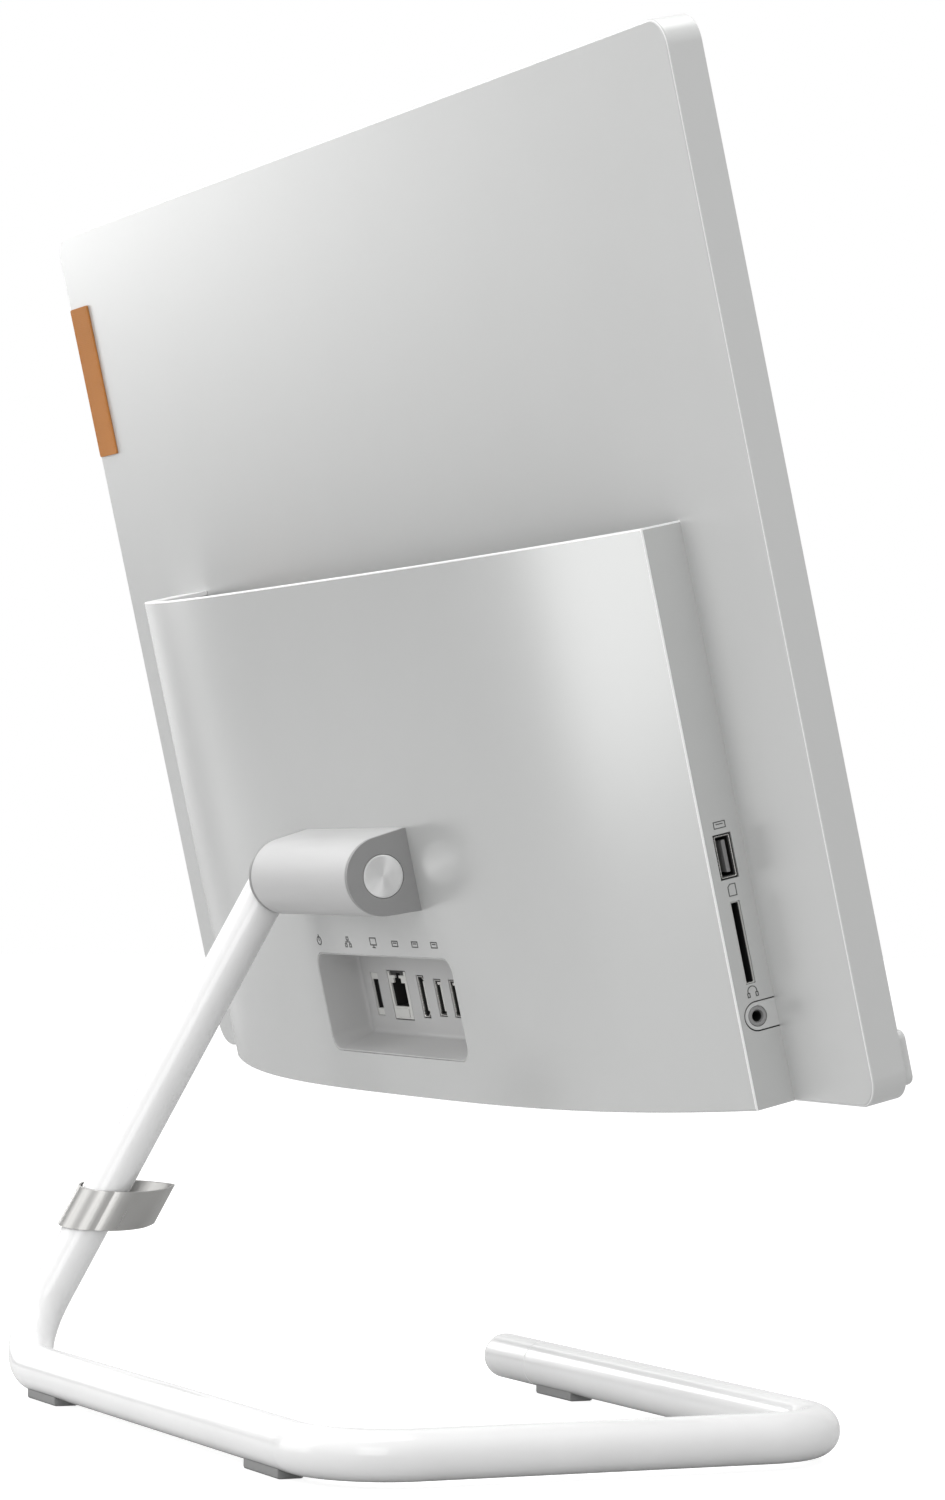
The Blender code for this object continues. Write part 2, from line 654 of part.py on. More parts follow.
def make_boards():
    """Main board with its modules, the socket board and the drive."""
    board = box((-201 * MM, 1.6 * MM, 20 * MM), (-70 * MM, 3.2 * MM, 172 * MM))
    display_node("main_board", board, BOARD)
    display_node("processor", box((-140 * MM, 3.5 * MM, 100 * MM), (-102 * MM, 6.2 * MM, 138 * MM)),
                 ALUMINIUM)
    display_node("memory_module", box((-150 * MM, 4.0 * MM, 40 * MM), (-80 * MM, 7.6 * MM, 70 * MM)),
                 BOARD)
    display_node("solid_state_drive",
                 box((-196 * MM, 4.4 * MM, 146 * MM), (-116 * MM, 6.8 * MM, 168 * MM)), BLACK)
    display_node("wireless_card",
                 box((-190 * MM, 4.4 * MM, 96 * MM), (-160 * MM, 6.6 * MM, 118 * MM)), ALUMINIUM)
    display_node("coin_cell",
                 disc_y((-175 * MM, 130 * MM), 10 * MM, 3.6 * MM, 6.8 * MM, 24), ALUMINIUM)
    display_node("socket_board",
                 box((-50 * MM, 7.8 * MM, 18 * MM), (58 * MM, 9.4 * MM, 52 * MM)), BOARD)
    drive = plate(rounded_rect((78 * MM, 18 * MM), (178 * MM, 88 * MM), 3 * MM, 2), 2 * MM, 11.5 * MM)
    display_node("hard_drive", drive, ALUMINIUM)


def make_cooling():
    """Heat pipe from the processor to the fins, and the blower that feeds them."""
    spreader_y = 6.5 * MM
    path = [(-150, 119), (-96, 119), (-60, 134), (-20, 170), (60, 176.0), (150, 176.0)]
    centre = [Vector((x * MM, 0, z * MM)) for x, z in path]
    rings = []
    for index, point in enumerate(centre):
        before = centre[max(index - 1, 0)]
        after = centre[min(index + 1, len(centre) - 1)]
        along = (after - before).normalized()
        across = Vector((-along.z, 0, along.x)) * 4 * MM
        low, high = spreader_y, spreader_y + 3 * MM
        rings.append([(*(point - across).xz, low), (*(point + across).xz, low),
                      (*(point + across).xz, high), (*(point - across).xz, high)])
    solid = loft([[(x, y, z) for x, z, y in ring] for ring in rings])
    display_node("heat_pipe", solid, COPPER)

    fins = fingers((84 * MM, 10 * MM, 171 * MM), (148 * MM, 22 * MM, 181 * MM), 22, 0.6 * MM)
    display_node("heatsink_fins", fins, COPPER)

    centre = FAN_AT
    case = box((centre[0] - 34 * MM, 4 * MM, centre[1] - 34 * MM),
               (centre[0] + 34 * MM, 20 * MM, centre[1] + 34 * MM))
    blower = display_node("blower_case", case, BLACK)
    chamber = disc_y(centre, 30 * MM, 5.5 * MM, 18.5 * MM, 28)
    outlet = box((centre[0] - 28 * MM, 5.5 * MM, centre[1]),
                 (centre[0] + 28 * MM, 18.5 * MM, centre[1] + 40 * MM))
    inlet = disc_y(centre, 20 * MM, 15 * MM, 24 * MM, 24)
    cut(blower, [chamber, outlet, inlet])

    rotor_shape = disc_y((0, 0), 9 * MM, -6 * MM, 6 * MM, 20)
    rotor = add_node("blower_rotor", rotor_shape, BLACK, TILT_EMPTY,
                     (centre[0], 12 * MM - HINGE_BACK, centre[1] - HINGE_UP))
    blades = bmesh.new()
    for index in range(9):
        turn = Matrix.Rotation(2 * math.pi * index / 9, 4, "Y")
        blade = box((7 * MM, -5 * MM, -0.6 * MM), (27 * MM, 5 * MM, 0.6 * MM))
        lean = turn @ Matrix.Translation((0, 0, -3 * MM)) @ Matrix.Rotation(0.12, 4, "Y")
        bmesh.ops.transform(blade, matrix=lean, verts=blade.verts)
        mesh = bpy.data.meshes.new("blade")
        blade.to_mesh(mesh)
        blade.free()
        blades.from_mesh(mesh)
        bpy.data.meshes.remove(mesh)
    cut(rotor, [blades], "UNION")


# ---------------------------------------------------------------- hinge

def block_profile(inset, back=BLOCK_BACK, steps=16):
    """Outline in (y, z): two flats that taper from the housing into a round about the axis."""
    radius, half = BLOCK_RADIUS - inset, BLOCK_FLAT - inset
    depth = HINGE_BACK - BLOCK_BACK
    swing = math.acos(radius / math.hypot(depth, half)) - math.atan2(depth, half)
    points = [(back, HINGE_UP - half)]
    for step in range(steps + 1):
        angle = (math.pi - 2 * swing) * (step / steps - 0.5)
        points.append((HINGE_BACK + radius * math.cos(angle), HINGE_UP + radius * math.sin(angle)))
    points.append((back, HINGE_UP + half))
    return points


def make_hinge():
    """Hinge cover with its end plates, friction sleeve, inner bracket and screws."""
    profile = block_profile(0)
    reach = BLOCK_HALF - END_PLATE - 0.1 * MM
    cover = display_node("hinge_cover", loft([at_x(profile, -reach), at_x(profile, reach)]),
                         SILVER_WHITE)
    hollow = block_profile(2.2 * MM, BLOCK_BACK - MM)
    cut(cover, [loft([at_x(hollow, -BLOCK_HALF), at_x(hollow, BLOCK_HALF)])])

    axis = (HINGE_BACK, HINGE_UP)
    for side, name, hole in ((-1, "hinge_end_plate_left", CAP_RADIUS + 0.2 * MM),
                             (1, "hinge_end_plate_right", SHAFT_RADIUS + 0.5 * MM)):
        inner, outer = side * (BLOCK_HALF - END_PLATE + 0.1 * MM), side * BLOCK_HALF
        solid = display_node(name, loft([at_x(profile, inner), at_x(profile, outer)]), DARK_GREY)
        cut(solid, [disc_x(axis, hole, side * 40 * MM, side * 50 * MM, 28)])

    rings = []
    rim = CAP_RADIUS - 0.3 * MM
    for radius, x in ((CAP_RADIUS, -41.0), (CAP_RADIUS, -44.6), (rim, -45.0), (0.6 * MM, -44.8)):
        rings.append(at_x(circle(axis, radius, 32), x * MM))
    display_node("hinge_end_cap", loft(rings), ALUMINIUM)

    sleeve = disc_x(axis, 8 * MM, -36 * MM, 16 * MM, 24)
    collar = display_node("friction_sleeve", sleeve, STEEL)
    foot = box((-38 * MM, BLOCK_BACK + 0.2 * MM, HINGE_UP - 12 * MM),
               (18 * MM, BLOCK_BACK + 4 * MM, HINGE_UP + 12 * MM))
    cut(collar, [foot], "UNION")
    shaft_way = [disc_x(axis, SHAFT_RADIUS + 0.2 * MM, -50 * MM, 30 * MM, 24)]
    blind = [disc_y(spot, 2.1 * MM, 36 * MM, 41 * MM, 12) for spot in SCREW_SPOTS]
    cut(collar, shaft_way + blind)

    inside = HOUSING_MID - SHELL - MM
    outline = [(-62, -3.0), (-60, -3.0), (-60, inside / MM - 2), (60, inside / MM - 2), (60, -3.0),
               (62, -3.0), (62, inside / MM), (-62, inside / MM)]
    outline = [(x * MM, y * MM) for x, y in outline]
    bracket = display_node("hinge_bracket", loft([at_z(outline, 62 * MM), at_z(outline, 106 * MM)]),
                           STEEL)
    cut(bracket, [disc_y(spot, 2.3 * MM, 30 * MM, 40 * MM, 12) for spot in SCREW_SPOTS])
    for index, spot in enumerate(SCREW_SPOTS):
        head = inside - 2 * MM - 0.2 * MM
        rings = [at_y(circle(spot, 3.6 * MM, 12), head - 2.2 * MM), at_y(circle(spot, 3.6 * MM, 12), head),
                 at_y(circle(spot, 1.9 * MM, 12), head), at_y(circle(spot, 1.9 * MM, 12), 40.6 * MM)]
        display_node(f"hinge_screw_{index + 1}", loft(rings), STEEL)


# ---------------------------------------------------------------- stand

def leg_direction():
    return Vector((0, math.sin(LEG_SLOPE), -math.cos(LEG_SLOPE)))


def tube_path():
    """Centre line of the bent tube: leg, rear bar, side bar and front bar."""
    down = leg_direction()
    hinge = Vector((LEG_X, HINGE_Y, HINGE_HEIGHT))
    length = (HINGE_HEIGHT - BAR_HEIGHT) / math.cos(LEG_SLOPE)
    rear_corner = hinge + down * length
    side_corner = Vector((SIDE_X, rear_corner.y, BAR_HEIGHT))
    front_corner = Vector((SIDE_X, FRONT_LINE, BAR_HEIGHT))
    end = Vector((BAR_END, front_corner.y, BAR_HEIGHT))
    start = hinge - down * LEG_OVERRUN
    corners = [start, rear_corner, side_corner, front_corner, end]
    points = [start]
    for before, corner, after in zip(corners, corners[1:], corners[2:]):
        points += fillet(before, corner, after, BEND_RADIUS, 7)
    points.append(end)
    return points


def fillet(before, corner, after, radius, steps):
    """Arc that rounds one corner of the centre line."""
    back = (before - corner).normalized()
    ahead = (after - corner).normalized()
    half = back.angle(ahead) / 2
    reach = radius / math.tan(half)
    centre = corner + (back + ahead).normalized() * radius / math.sin(half)
    first = corner + back * reach - centre
    last = corner + ahead * reach - centre
    swing = first.angle(last)
    arc = []
    for step in range(steps + 1):
        share = step / steps
        point = (first * math.sin((1 - share) * swing) + last * math.sin(share * swing))
        arc.append(centre + point / math.sin(swing))
    return arc


def sweep_rings(path, radius, steps=20):
    """Circles square to the path. Each frame is carried on from the one before."""
    rings = []
    tangent = (path[1] - path[0]).normalized()
    side = tangent.cross(Vector((1, 0, 0))).normalized()
    for index, point in enumerate(path):
        if 0 < index < len(path) - 1:
            incoming = (point - path[index - 1]).normalized()
            outgoing = (path[index + 1] - point).normalized()
            new_tangent = (incoming + outgoing).normalized()
        else:
            other = path[1] - path[0] if index == 0 else path[-1] - path[-2]
            new_tangent = other.normalized()
        side = (tangent.rotation_difference(new_tangent) @ side).normalized()
        tangent = new_tangent
        up = tangent.cross(side).normalized()
        ring = []
        for step in range(steps):
            angle = 2 * math.pi * step / steps
            ring.append(point + (side * math.cos(angle) + up * math.sin(angle)) * radius)
        rings.append(ring)
    return rings


def make_stand():
    """Bent tube, its two end plugs, the hinge shaft with its nut, and the rubber feet."""
    path = tube_path()
    outer = sweep_rings(path, TUBE_RADIUS)
    inner = sweep_rings(path, TUBE_RADIUS - TUBE_WALL)
    shape = closed_loft(outer + list(reversed(inner)))
    tube = add_node("stand_tube", shape, TUBE_WHITE, STAND_EMPTY, smooth=True)
    axis = (HINGE_Y, HINGE_HEIGHT)
    cut(tube, [disc_x(axis, SHAFT_RADIUS + 0.2 * MM, 40 * MM, 70 * MM, 20)])
    for face in tube.data.polygons:
        face.use_smooth = True

    rings = []
    for radius, x in ((SHAFT_RADIUS, -38 * MM), (SHAFT_RADIUS, 62 * MM)):
        rings.append(at_x(circle(axis, radius, 20), x))
    add_node("hinge_shaft", loft(rings), STEEL, STAND_EMPTY)
    rings = []
    for radius, x in ((5.5, 62.3), (5.5, 64.2), (4.7, 65.0)):
        rings.append(at_x(circle(axis, radius * MM, 24), x * MM))
    add_node("shaft_nut", loft(rings), ALUMINIUM, STAND_EMPTY)

    down = leg_direction()
    top = path[0]
    profile = [(6.2, -1.0), (6.2, 0.3), (8.0, 0.3), (8.0, 1.4), (7.0, 2.6), (4.0, 3.4)]
    rings = [ring_at(top, -down, radius * MM, along * MM) for radius, along in profile]
    add_node("leg_top_plug", loft(rings), TUBE_WHITE, STAND_EMPTY)

    end = path[-1]
    length = (END_CAP_TIP - BAR_END) / MM
    profile = [(6.2, -14.0), (6.2, 0.3), (8.0, 0.3), (8.0, length - 7), (7.4, length - 4),
               (5.8, length - 1.6), (3.2, length - 0.3), (1.0, length)]
    rings = [ring_at(end, Vector((1, 0, 0)), radius * MM, along * MM) for radius, along in profile]
    add_node("tube_end_cap", loft(rings), TUBE_WHITE, STAND_EMPTY)

    feet = ((11, REAR_LINE), (-190, REAR_LINE), (-190, FRONT_LINE), (-34, FRONT_LINE))
    for index, (x, y) in enumerate(feet):
        make_foot(f"rubber_foot_{index + 1}", x * MM, y)


def ring_at(origin, along, radius, distance, steps=24):
    """Circle square to a direction, at a distance along it."""
    side = along.orthogonal().normalized()
    up = along.cross(side).normalized()
    centre = origin + along * distance
    ring = []
    for step in range(steps):
        angle = 2 * math.pi * step / steps
        ring.append(centre + (side * math.cos(angle) + up * math.sin(angle)) * radius)
    return ring


def make_foot(name, x, y):
    """Pad with a hollowed top that follows the tube, and a flat underside on the floor."""
    half = FOOT_WIDTH / 2
    points = [(-half + 0.8 * MM, 0), (half - 0.8 * MM, 0), (half, 0.8 * MM)]
    for step in range(7):
        across = half * (1 - 2 * step / 6)
        rise = BAR_HEIGHT - math.sqrt((TUBE_RADIUS + GAP) ** 2 - across ** 2)
        points.append((across, rise))
    points.append((-half, 0.8 * MM))
    section = [(y + across, rise) for across, rise in points]
    ends = [x - FOOT_LENGTH / 2, x + FOOT_LENGTH / 2]
    add_node(name, loft([at_x(section, value) for value in ends]), RUBBER, STAND_EMPTY)


def make_cable_clip():
    """Sprung steel band round the leg, with a leaf-shaped loop in front for the cables."""
    thick = 0.8 * MM
    low, high = CLIP_LOW, CLIP_HIGH
    centre_line = clip_centre_line()
    outer, inner = [], []
    for index, point in enumerate(centre_line):
        before = centre_line[max(index - 1, 0)]
        after = centre_line[min(index + 1, len(centre_line) - 1)]
        along = (after - before).normalized()
        across = Vector((-along.y, along.x)) * thick / 2
        outer.append(point + across)
        inner.append(point - across)
    section = outer + list(reversed(inner))
    down = leg_direction()
    rings = []
    for height in (low, high):
        slide = (HINGE_HEIGHT - height) / math.cos(LEG_SLOPE)
        base = Vector((LEG_X, HINGE_Y, HINGE_HEIGHT)) + down * slide
        rings.append([(base.x + p.x, base.y + p.y, height + CLIP_SLANT * p.x) for p in section])
    anchor_slide = (HINGE_HEIGHT - low) / math.cos(LEG_SLOPE)
    anchor = Vector((LEG_X, HINGE_Y, HINGE_HEIGHT)) + down * anchor_slide
    rings = [[Vector(point) - anchor for point in ring] for ring in rings]
    add_node("cable_clip", loft(rings), STEEL, None, anchor)


def clip_centre_line():
    """Centre line of the clip's band in a level plane, as (x, y) from the leg's axis."""
    wide = TUBE_RADIUS + 0.9 * MM
    deep = TUBE_RADIUS / math.cos(LEG_SLOPE) + 0.9 * MM
    points = [Vector((6.0, -9.6)) * MM]
    for degrees in range(-40, 181, 20):
        angle = math.radians(degrees)
        points.append(Vector((wide * math.cos(angle), deep * math.sin(angle))))
    points += [Vector(pair) * MM for pair in
               ((-10.0, -2.6), (-10.4, -7.0), (-9.6, -12.5), (-6.8, -19.0), (-1.0, -25.0),
                (1.2, -25.2), (3.6, -22.0), (7.0, -16.0), (9.0, -12.4))]
    return points


def make_tag():
    """Small sewn tag on the back of the display, left blank."""
    outline = rounded_rect((249.5 * MM, 249 * MM), (268.5 * MM, 310.5 * MM), 0.8 * MM, 2)
    display_node("rear_tag", plate(outline, 0.2 * MM, 1.0 * MM), TAN)


clear_scene()
TILT_EMPTY = empty("tilt_axis", AXIS, (-TILT, 0, 0))
STAND_EMPTY = empty("stand_base", (0, 0, 0))
make_rear_cover()
make_front()
make_chin_bar()
make_chassis()
make_speakers()
make_webcam()
make_power_button()
make_rear_housing()
make_vents()
make_io_tray()
make_rear_ports()
make_side_ports()
make_boards()
make_cooling()
make_hinge()
make_stand()
make_cable_clip()
make_tag()
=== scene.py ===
"""Looks of the all-in-one computer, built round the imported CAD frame.

Pieces are drawn in millimetres, most of them in display coordinates: x across, y rearward
from the slab's back face, z up from its lower edge. make() turns them into metres.
"""
import json
import math

import bmesh
import bpy
from mathutils import Matrix, Vector


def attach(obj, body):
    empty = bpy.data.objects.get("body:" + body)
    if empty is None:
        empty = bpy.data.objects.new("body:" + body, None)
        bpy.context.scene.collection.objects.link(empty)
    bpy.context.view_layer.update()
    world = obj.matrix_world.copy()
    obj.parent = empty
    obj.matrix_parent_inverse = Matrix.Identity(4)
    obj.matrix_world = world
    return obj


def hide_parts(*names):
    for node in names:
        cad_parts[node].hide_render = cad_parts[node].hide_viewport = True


MM = 0.001
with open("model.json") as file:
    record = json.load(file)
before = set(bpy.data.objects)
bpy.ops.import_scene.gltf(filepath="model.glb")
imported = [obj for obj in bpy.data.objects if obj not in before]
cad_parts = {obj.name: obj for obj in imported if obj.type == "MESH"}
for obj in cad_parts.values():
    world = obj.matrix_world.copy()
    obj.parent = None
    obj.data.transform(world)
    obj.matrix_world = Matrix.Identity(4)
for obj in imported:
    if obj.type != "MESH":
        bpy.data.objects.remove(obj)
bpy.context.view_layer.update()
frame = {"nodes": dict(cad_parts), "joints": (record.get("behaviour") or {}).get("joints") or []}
nodes = frame["nodes"]
joints = {joint["name"]: joint for joint in frame["joints"]}


# --- places from the frame

def span(node, place=None):
    """Lowest and highest corner of a CAD node in a matrix's coordinates, the display's by default."""
    inverse = (DISPLAY if place is None else place).inverted()
    points = [inverse @ vertex.co / MM for vertex in nodes[node].data.vertices]
    return Vector(map(min, zip(*points))), Vector(map(max, zip(*points)))


WORLD = Matrix.Identity(4)
HINGE = Vector(joints["display_tilt"]["pos_m"])
PIVOT = HINGE / MM
DISPLAY_UP = Vector(joints["power_press"]["axis"])
LEG_UP = Vector(joints["clip_slide"]["axis"]).normalized()
TILT = math.atan2(DISPLAY_UP.y, DISPLAY_UP.z)
AT_HINGE = Matrix.Translation(HINGE) @ Matrix.Rotation(-TILT, 4, "X")
_low, _high = span("rear_cover", AT_HINGE)
DISPLAY = AT_HINGE @ Matrix.Translation((0, _high.y * MM, _low.z * MM))
AXIS_Y, AXIS_Z = -_high.y, -_low.z          # the tilt axis in display coordinates

SLAB_LOW, SLAB_HIGH = span("rear_cover")
_, HOUSING_HIGH = span("rear_housing")

CORNER = 9.5                # slab's corner radius
WALL = 2.0
CHAMFER = 0.8
WINDOW = ((-203, -5, 12), (203, 1, 178))    # opening of the slab's back under the housing
BEZEL_CORNER = 7.5
LENS_HOLE = 2.1
CHIN_CORNER = 3.0
WEAVE_PITCH = 0.6
HALF = HOUSING_HIGH.x       # half of the housing's length
EDGE = 14.0                 # housing's depth at both ends
MIDDLE = HOUSING_HIGH.y     # and at the middle
POWER = 3.1                 # exponent of the curve between them
SHELL = 2.0
RECESS = ((-59.5, 15.0), (59.5, 52.0))
RECESS_CORNER = 6.0
RECESS_FLOOR = 22.0
SHELF_START = 185.0
SHELF_THICK = 1.7
VENT_SLOTS, VENT_PITCH, VENT_SLOT = 30, 12, 7.0
SOCKET_GAP = 0.4            # gap round a connector, made dark by a ring of painted shade below its face
JACK_HOLE = 3.35
MARK_HEIGHT = 56.5          # middle of the rear marks
MARK_DEPTH = 7.4            # side marks' middle behind the slab
BLOCK_HALF = 45.0
BLOCK_FLAT = 14.75
BLOCK_RADIUS = 13.9
TUBE = 8.0
TUBE_WALL = 1.5
BAR_HEIGHT = TUBE + 2.0     # centre line of the base above the floor
BEND = 28.0
LEG_X = 53.5
SEAM_X = -17.0              # where the base's tip plug begins
PLUG_NECK = 6.3
CLIP_GAP, CLIP_HALF = 0.9, 0.4      # centre line's distance from the tube, half the strip's thickness
CLIP_REST = (57.8, 71.6)    # heights of the clip's ends above the floor
CLIP_SLANT = 0.16           # its edges rise towards +X


# --- outlines and solids

def rounded(low, high, radius, steps=8):
    """Rounded rectangle, counter-clockwise, as pairs."""
    radius = max(radius, 0.02)
    points = []
    corners = ((high[0] - radius, high[1] - radius, 0), (low[0] + radius, high[1] - radius, 90),
               (low[0] + radius, low[1] + radius, 180), (high[0] - radius, low[1] + radius, 270))
    for a, b, start in corners:
        for step in range(steps + 1):
            angle = math.radians(start + 90 * step / steps)
            points.append((a + radius * math.cos(angle), b + radius * math.sin(angle)))
    return points


def circle(centre, radius, steps=48):
    turns = [2 * math.pi * step / steps for step in range(steps)]
    return [(centre[0] + radius * math.cos(a), centre[1] + radius * math.sin(a)) for a in turns]


def middle(low, high, axes):
    """Middle of a box along the named axes."""
    return tuple((low["xyz".index(axis)] + high["xyz".index(axis)]) / 2 for axis in axes)


def at(axis, points, level):
    """Pairs lifted into space: (y, z) on axis x, (x, z) on axis y, (x, y) on axis z."""
    if axis == "x":
        return [(level, a, b) for a, b in points]
    if axis == "y":
        return [(a, level, b) for a, b in points]
    return [(a, b, level) for a, b in points]


def loft(rings, closed=False):
    """Solid through rings with equal point counts. A closed one has no end faces."""
    shape = bmesh.new()
    rows = [[shape.verts.new(point) for point in ring] for ring in rings]
    following = rows[1:] + rows[:1] if closed else rows[1:]
    for near, far in zip(rows, following):
        count = len(near)
        for index in range(count):
            after = (index + 1) % count
            shape.faces.new((near[index], near[after], far[after], far[index]))
    if not closed:
        shape.faces.new(rows[0])
        shape.faces.new(list(reversed(rows[-1])))
    return shape


def stack(axis, outline, profile, closed=False):
    """Solid whose section is outline(inset) at each (inset, level) of the profile."""
    return loft([at(axis, outline(inset), level) for inset, level in profile], closed)


def box_outline(axis, low, high, corner, steps=8):
    """Function of an inset that gives a rounded box's section across the axis."""
    flat = [index for index in range(3) if index != "xyz".index(axis)]

    def outline(inset):
        return rounded([low[i] + inset for i in flat], [high[i] - inset for i in flat],
                       corner - inset, steps)
    return outline


def rims(low, high, edge):
    """Profile of a prism whose two rims are softened by edge."""
    return [(edge, low), (edge * 0.3, low + edge * 0.3), (0, low + edge),
            (0, high - edge), (edge * 0.3, high - edge * 0.3), (edge, high)]


def pad(axis, low, high, corner, edge=0.2, steps=6):
    """Rounded block between two corners, with its rims across the axis softened."""
    along = "xyz".index(axis)
    return stack(axis, box_outline(axis, low, high, corner, steps), rims(low[along], high[along], edge))


def block(low, high):
    (x0, y0, z0), (x1, y1, z1) = low, high
    return loft([at("y", [(x0, z0), (x1, z0), (x1, z1), (x0, z1)], y) for y in (y0, y1)])


def disc(axis, centre, profile, steps=48):
    """Turned solid through the (radius, level) pairs of the profile."""
    return loft([at(axis, circle(centre, radius, steps), level) for radius, level in profile])


def merge(shapes):
    """One bmesh that holds them all."""
    total = bmesh.new()
    for shape in shapes:
        mesh = bpy.data.meshes.new("part")
        shape.to_mesh(mesh)
        shape.free()
        total.from_mesh(mesh)
        bpy.data.meshes.remove(mesh)
    return total


def to_object(name, shape):
    bmesh.ops.recalc_face_normals(shape, faces=shape.faces)
    bmesh.ops.scale(shape, vec=(MM, MM, MM), verts=shape.verts)
    mesh = bpy.data.meshes.new(name)
    shape.to_mesh(mesh)
    shape.free()
    made = bpy.data.objects.new(name, mesh)
    bpy.context.scene.collection.objects.link(made)
    return made


def carve(target, cutters):
    """Cut the bmesh shapes from target and keep the result as its mesh."""
    tools = [to_object(f"{target.name}_tool", shape) for shape in cutters]
    for tool in tools:
        step = target.modifiers.new("Cut", "BOOLEAN")
        step.operation = "DIFFERENCE"
        step.solver = "EXACT"
        step.object = tool
    bpy.context.view_layer.update()
    graph = bpy.context.evaluated_depsgraph_get()
    mesh = bpy.data.meshes.new_from_object(target.evaluated_get(graph))
    target.modifiers.clear()
    old, target.data = target.data, mesh
    bpy.data.meshes.remove(old)
    mesh.name = target.name
    for tool in tools:
        bpy.data.objects.remove(tool, do_unlink=True)


def make(name, shape, look, body="display", place=None, node=None,
         crease=32, cutters=(), soften=0.0, painted_highlight=None):
    """One piece: its mesh, cuts, softened edges, shading, place, body and finish.

    It stands for the CAD node, which it hides.
    The last argument is a (finish, test) pair: faces whose (normal, centre) passes the test get that finish,
    a lighter paint that is a painted highlight.
    """
    made = to_object(name, shape)
    if cutters:
        carve(made, cutters)
    made.data.materials.clear()
    made.data.materials.append(look)
    if painted_highlight:
        made.data.materials.append(painted_highlight[0])
        for face in made.data.polygons:
            face.material_index = int(painted_highlight[1](face.normal, face.center / MM))
    if soften:
        bevel = made.modifiers.new("Soften", "BEVEL")
        bevel.width = soften * MM
        bevel.segments = 2
        bevel.limit_method = "ANGLE"
        bevel.angle_limit = math.radians(50)
        bevel.use_clamp_overlap = True
    made.data.shade_smooth()
    made.data.set_sharp_from_angle(angle=math.radians(crease))
    weighted = made.modifiers.new("Normals", "WEIGHTED_NORMAL")
    weighted.keep_sharp = True
    made.matrix_world = DISPLAY if place is None else place
    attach(made, body)
    if node:
        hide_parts(node)


# --- finishes

def wire(tree, kind, inputs, **settings):
    """Node with its settings and its inputs, by name or number. A socket among them is linked."""
    added = tree.nodes.new(kind)
    for key, value in settings.items():
        setattr(added, key, value)
    for key, value in inputs.items():
        if isinstance(value, bpy.types.NodeSocket):
            tree.links.new(value, added.inputs[key])
        else:
            added.inputs[key].default_value = value
    return added


def ranged(tree, source, source_range, low, high, interpolation="LINEAR"):
    """The source's range stretched to low and high."""
    return wire(tree, "ShaderNodeMapRange",
                {"Value": source, "From Min": source_range[0], "From Max": source_range[1],
                 "To Min": low, "To Max": high}, interpolation_type=interpolation).outputs["Result"]


def blend(tree, factor, first, second):
    """Colour between two colours or sockets."""
    return wire(tree, "ShaderNodeMix", {0: factor, 6: first, 7: second}, data_type="RGBA").outputs[2]


def weave(tree, place):
    """Height of crossed threads."""
    threads = [wire(tree, "ShaderNodeTexWave",
                    {"Vector": place, "Scale": 420.0, "Distortion": 0.4, "Detail": 1.0,
                     "Phase Offset": offset}, bands_direction=axis).outputs["Fac"]
               for axis, offset in (("X", 0.0), ("Z", math.pi / 2))]
    return wire(tree, "ShaderNodeMath", dict(enumerate(threads)), operation="MULTIPLY").outputs["Value"]


MOST_NOISE = (0.3, 0.7)     # nearly all of a noise texture lies in this range
WORN_EDGE = (0.52, 0.6)     # pointiness of an edge


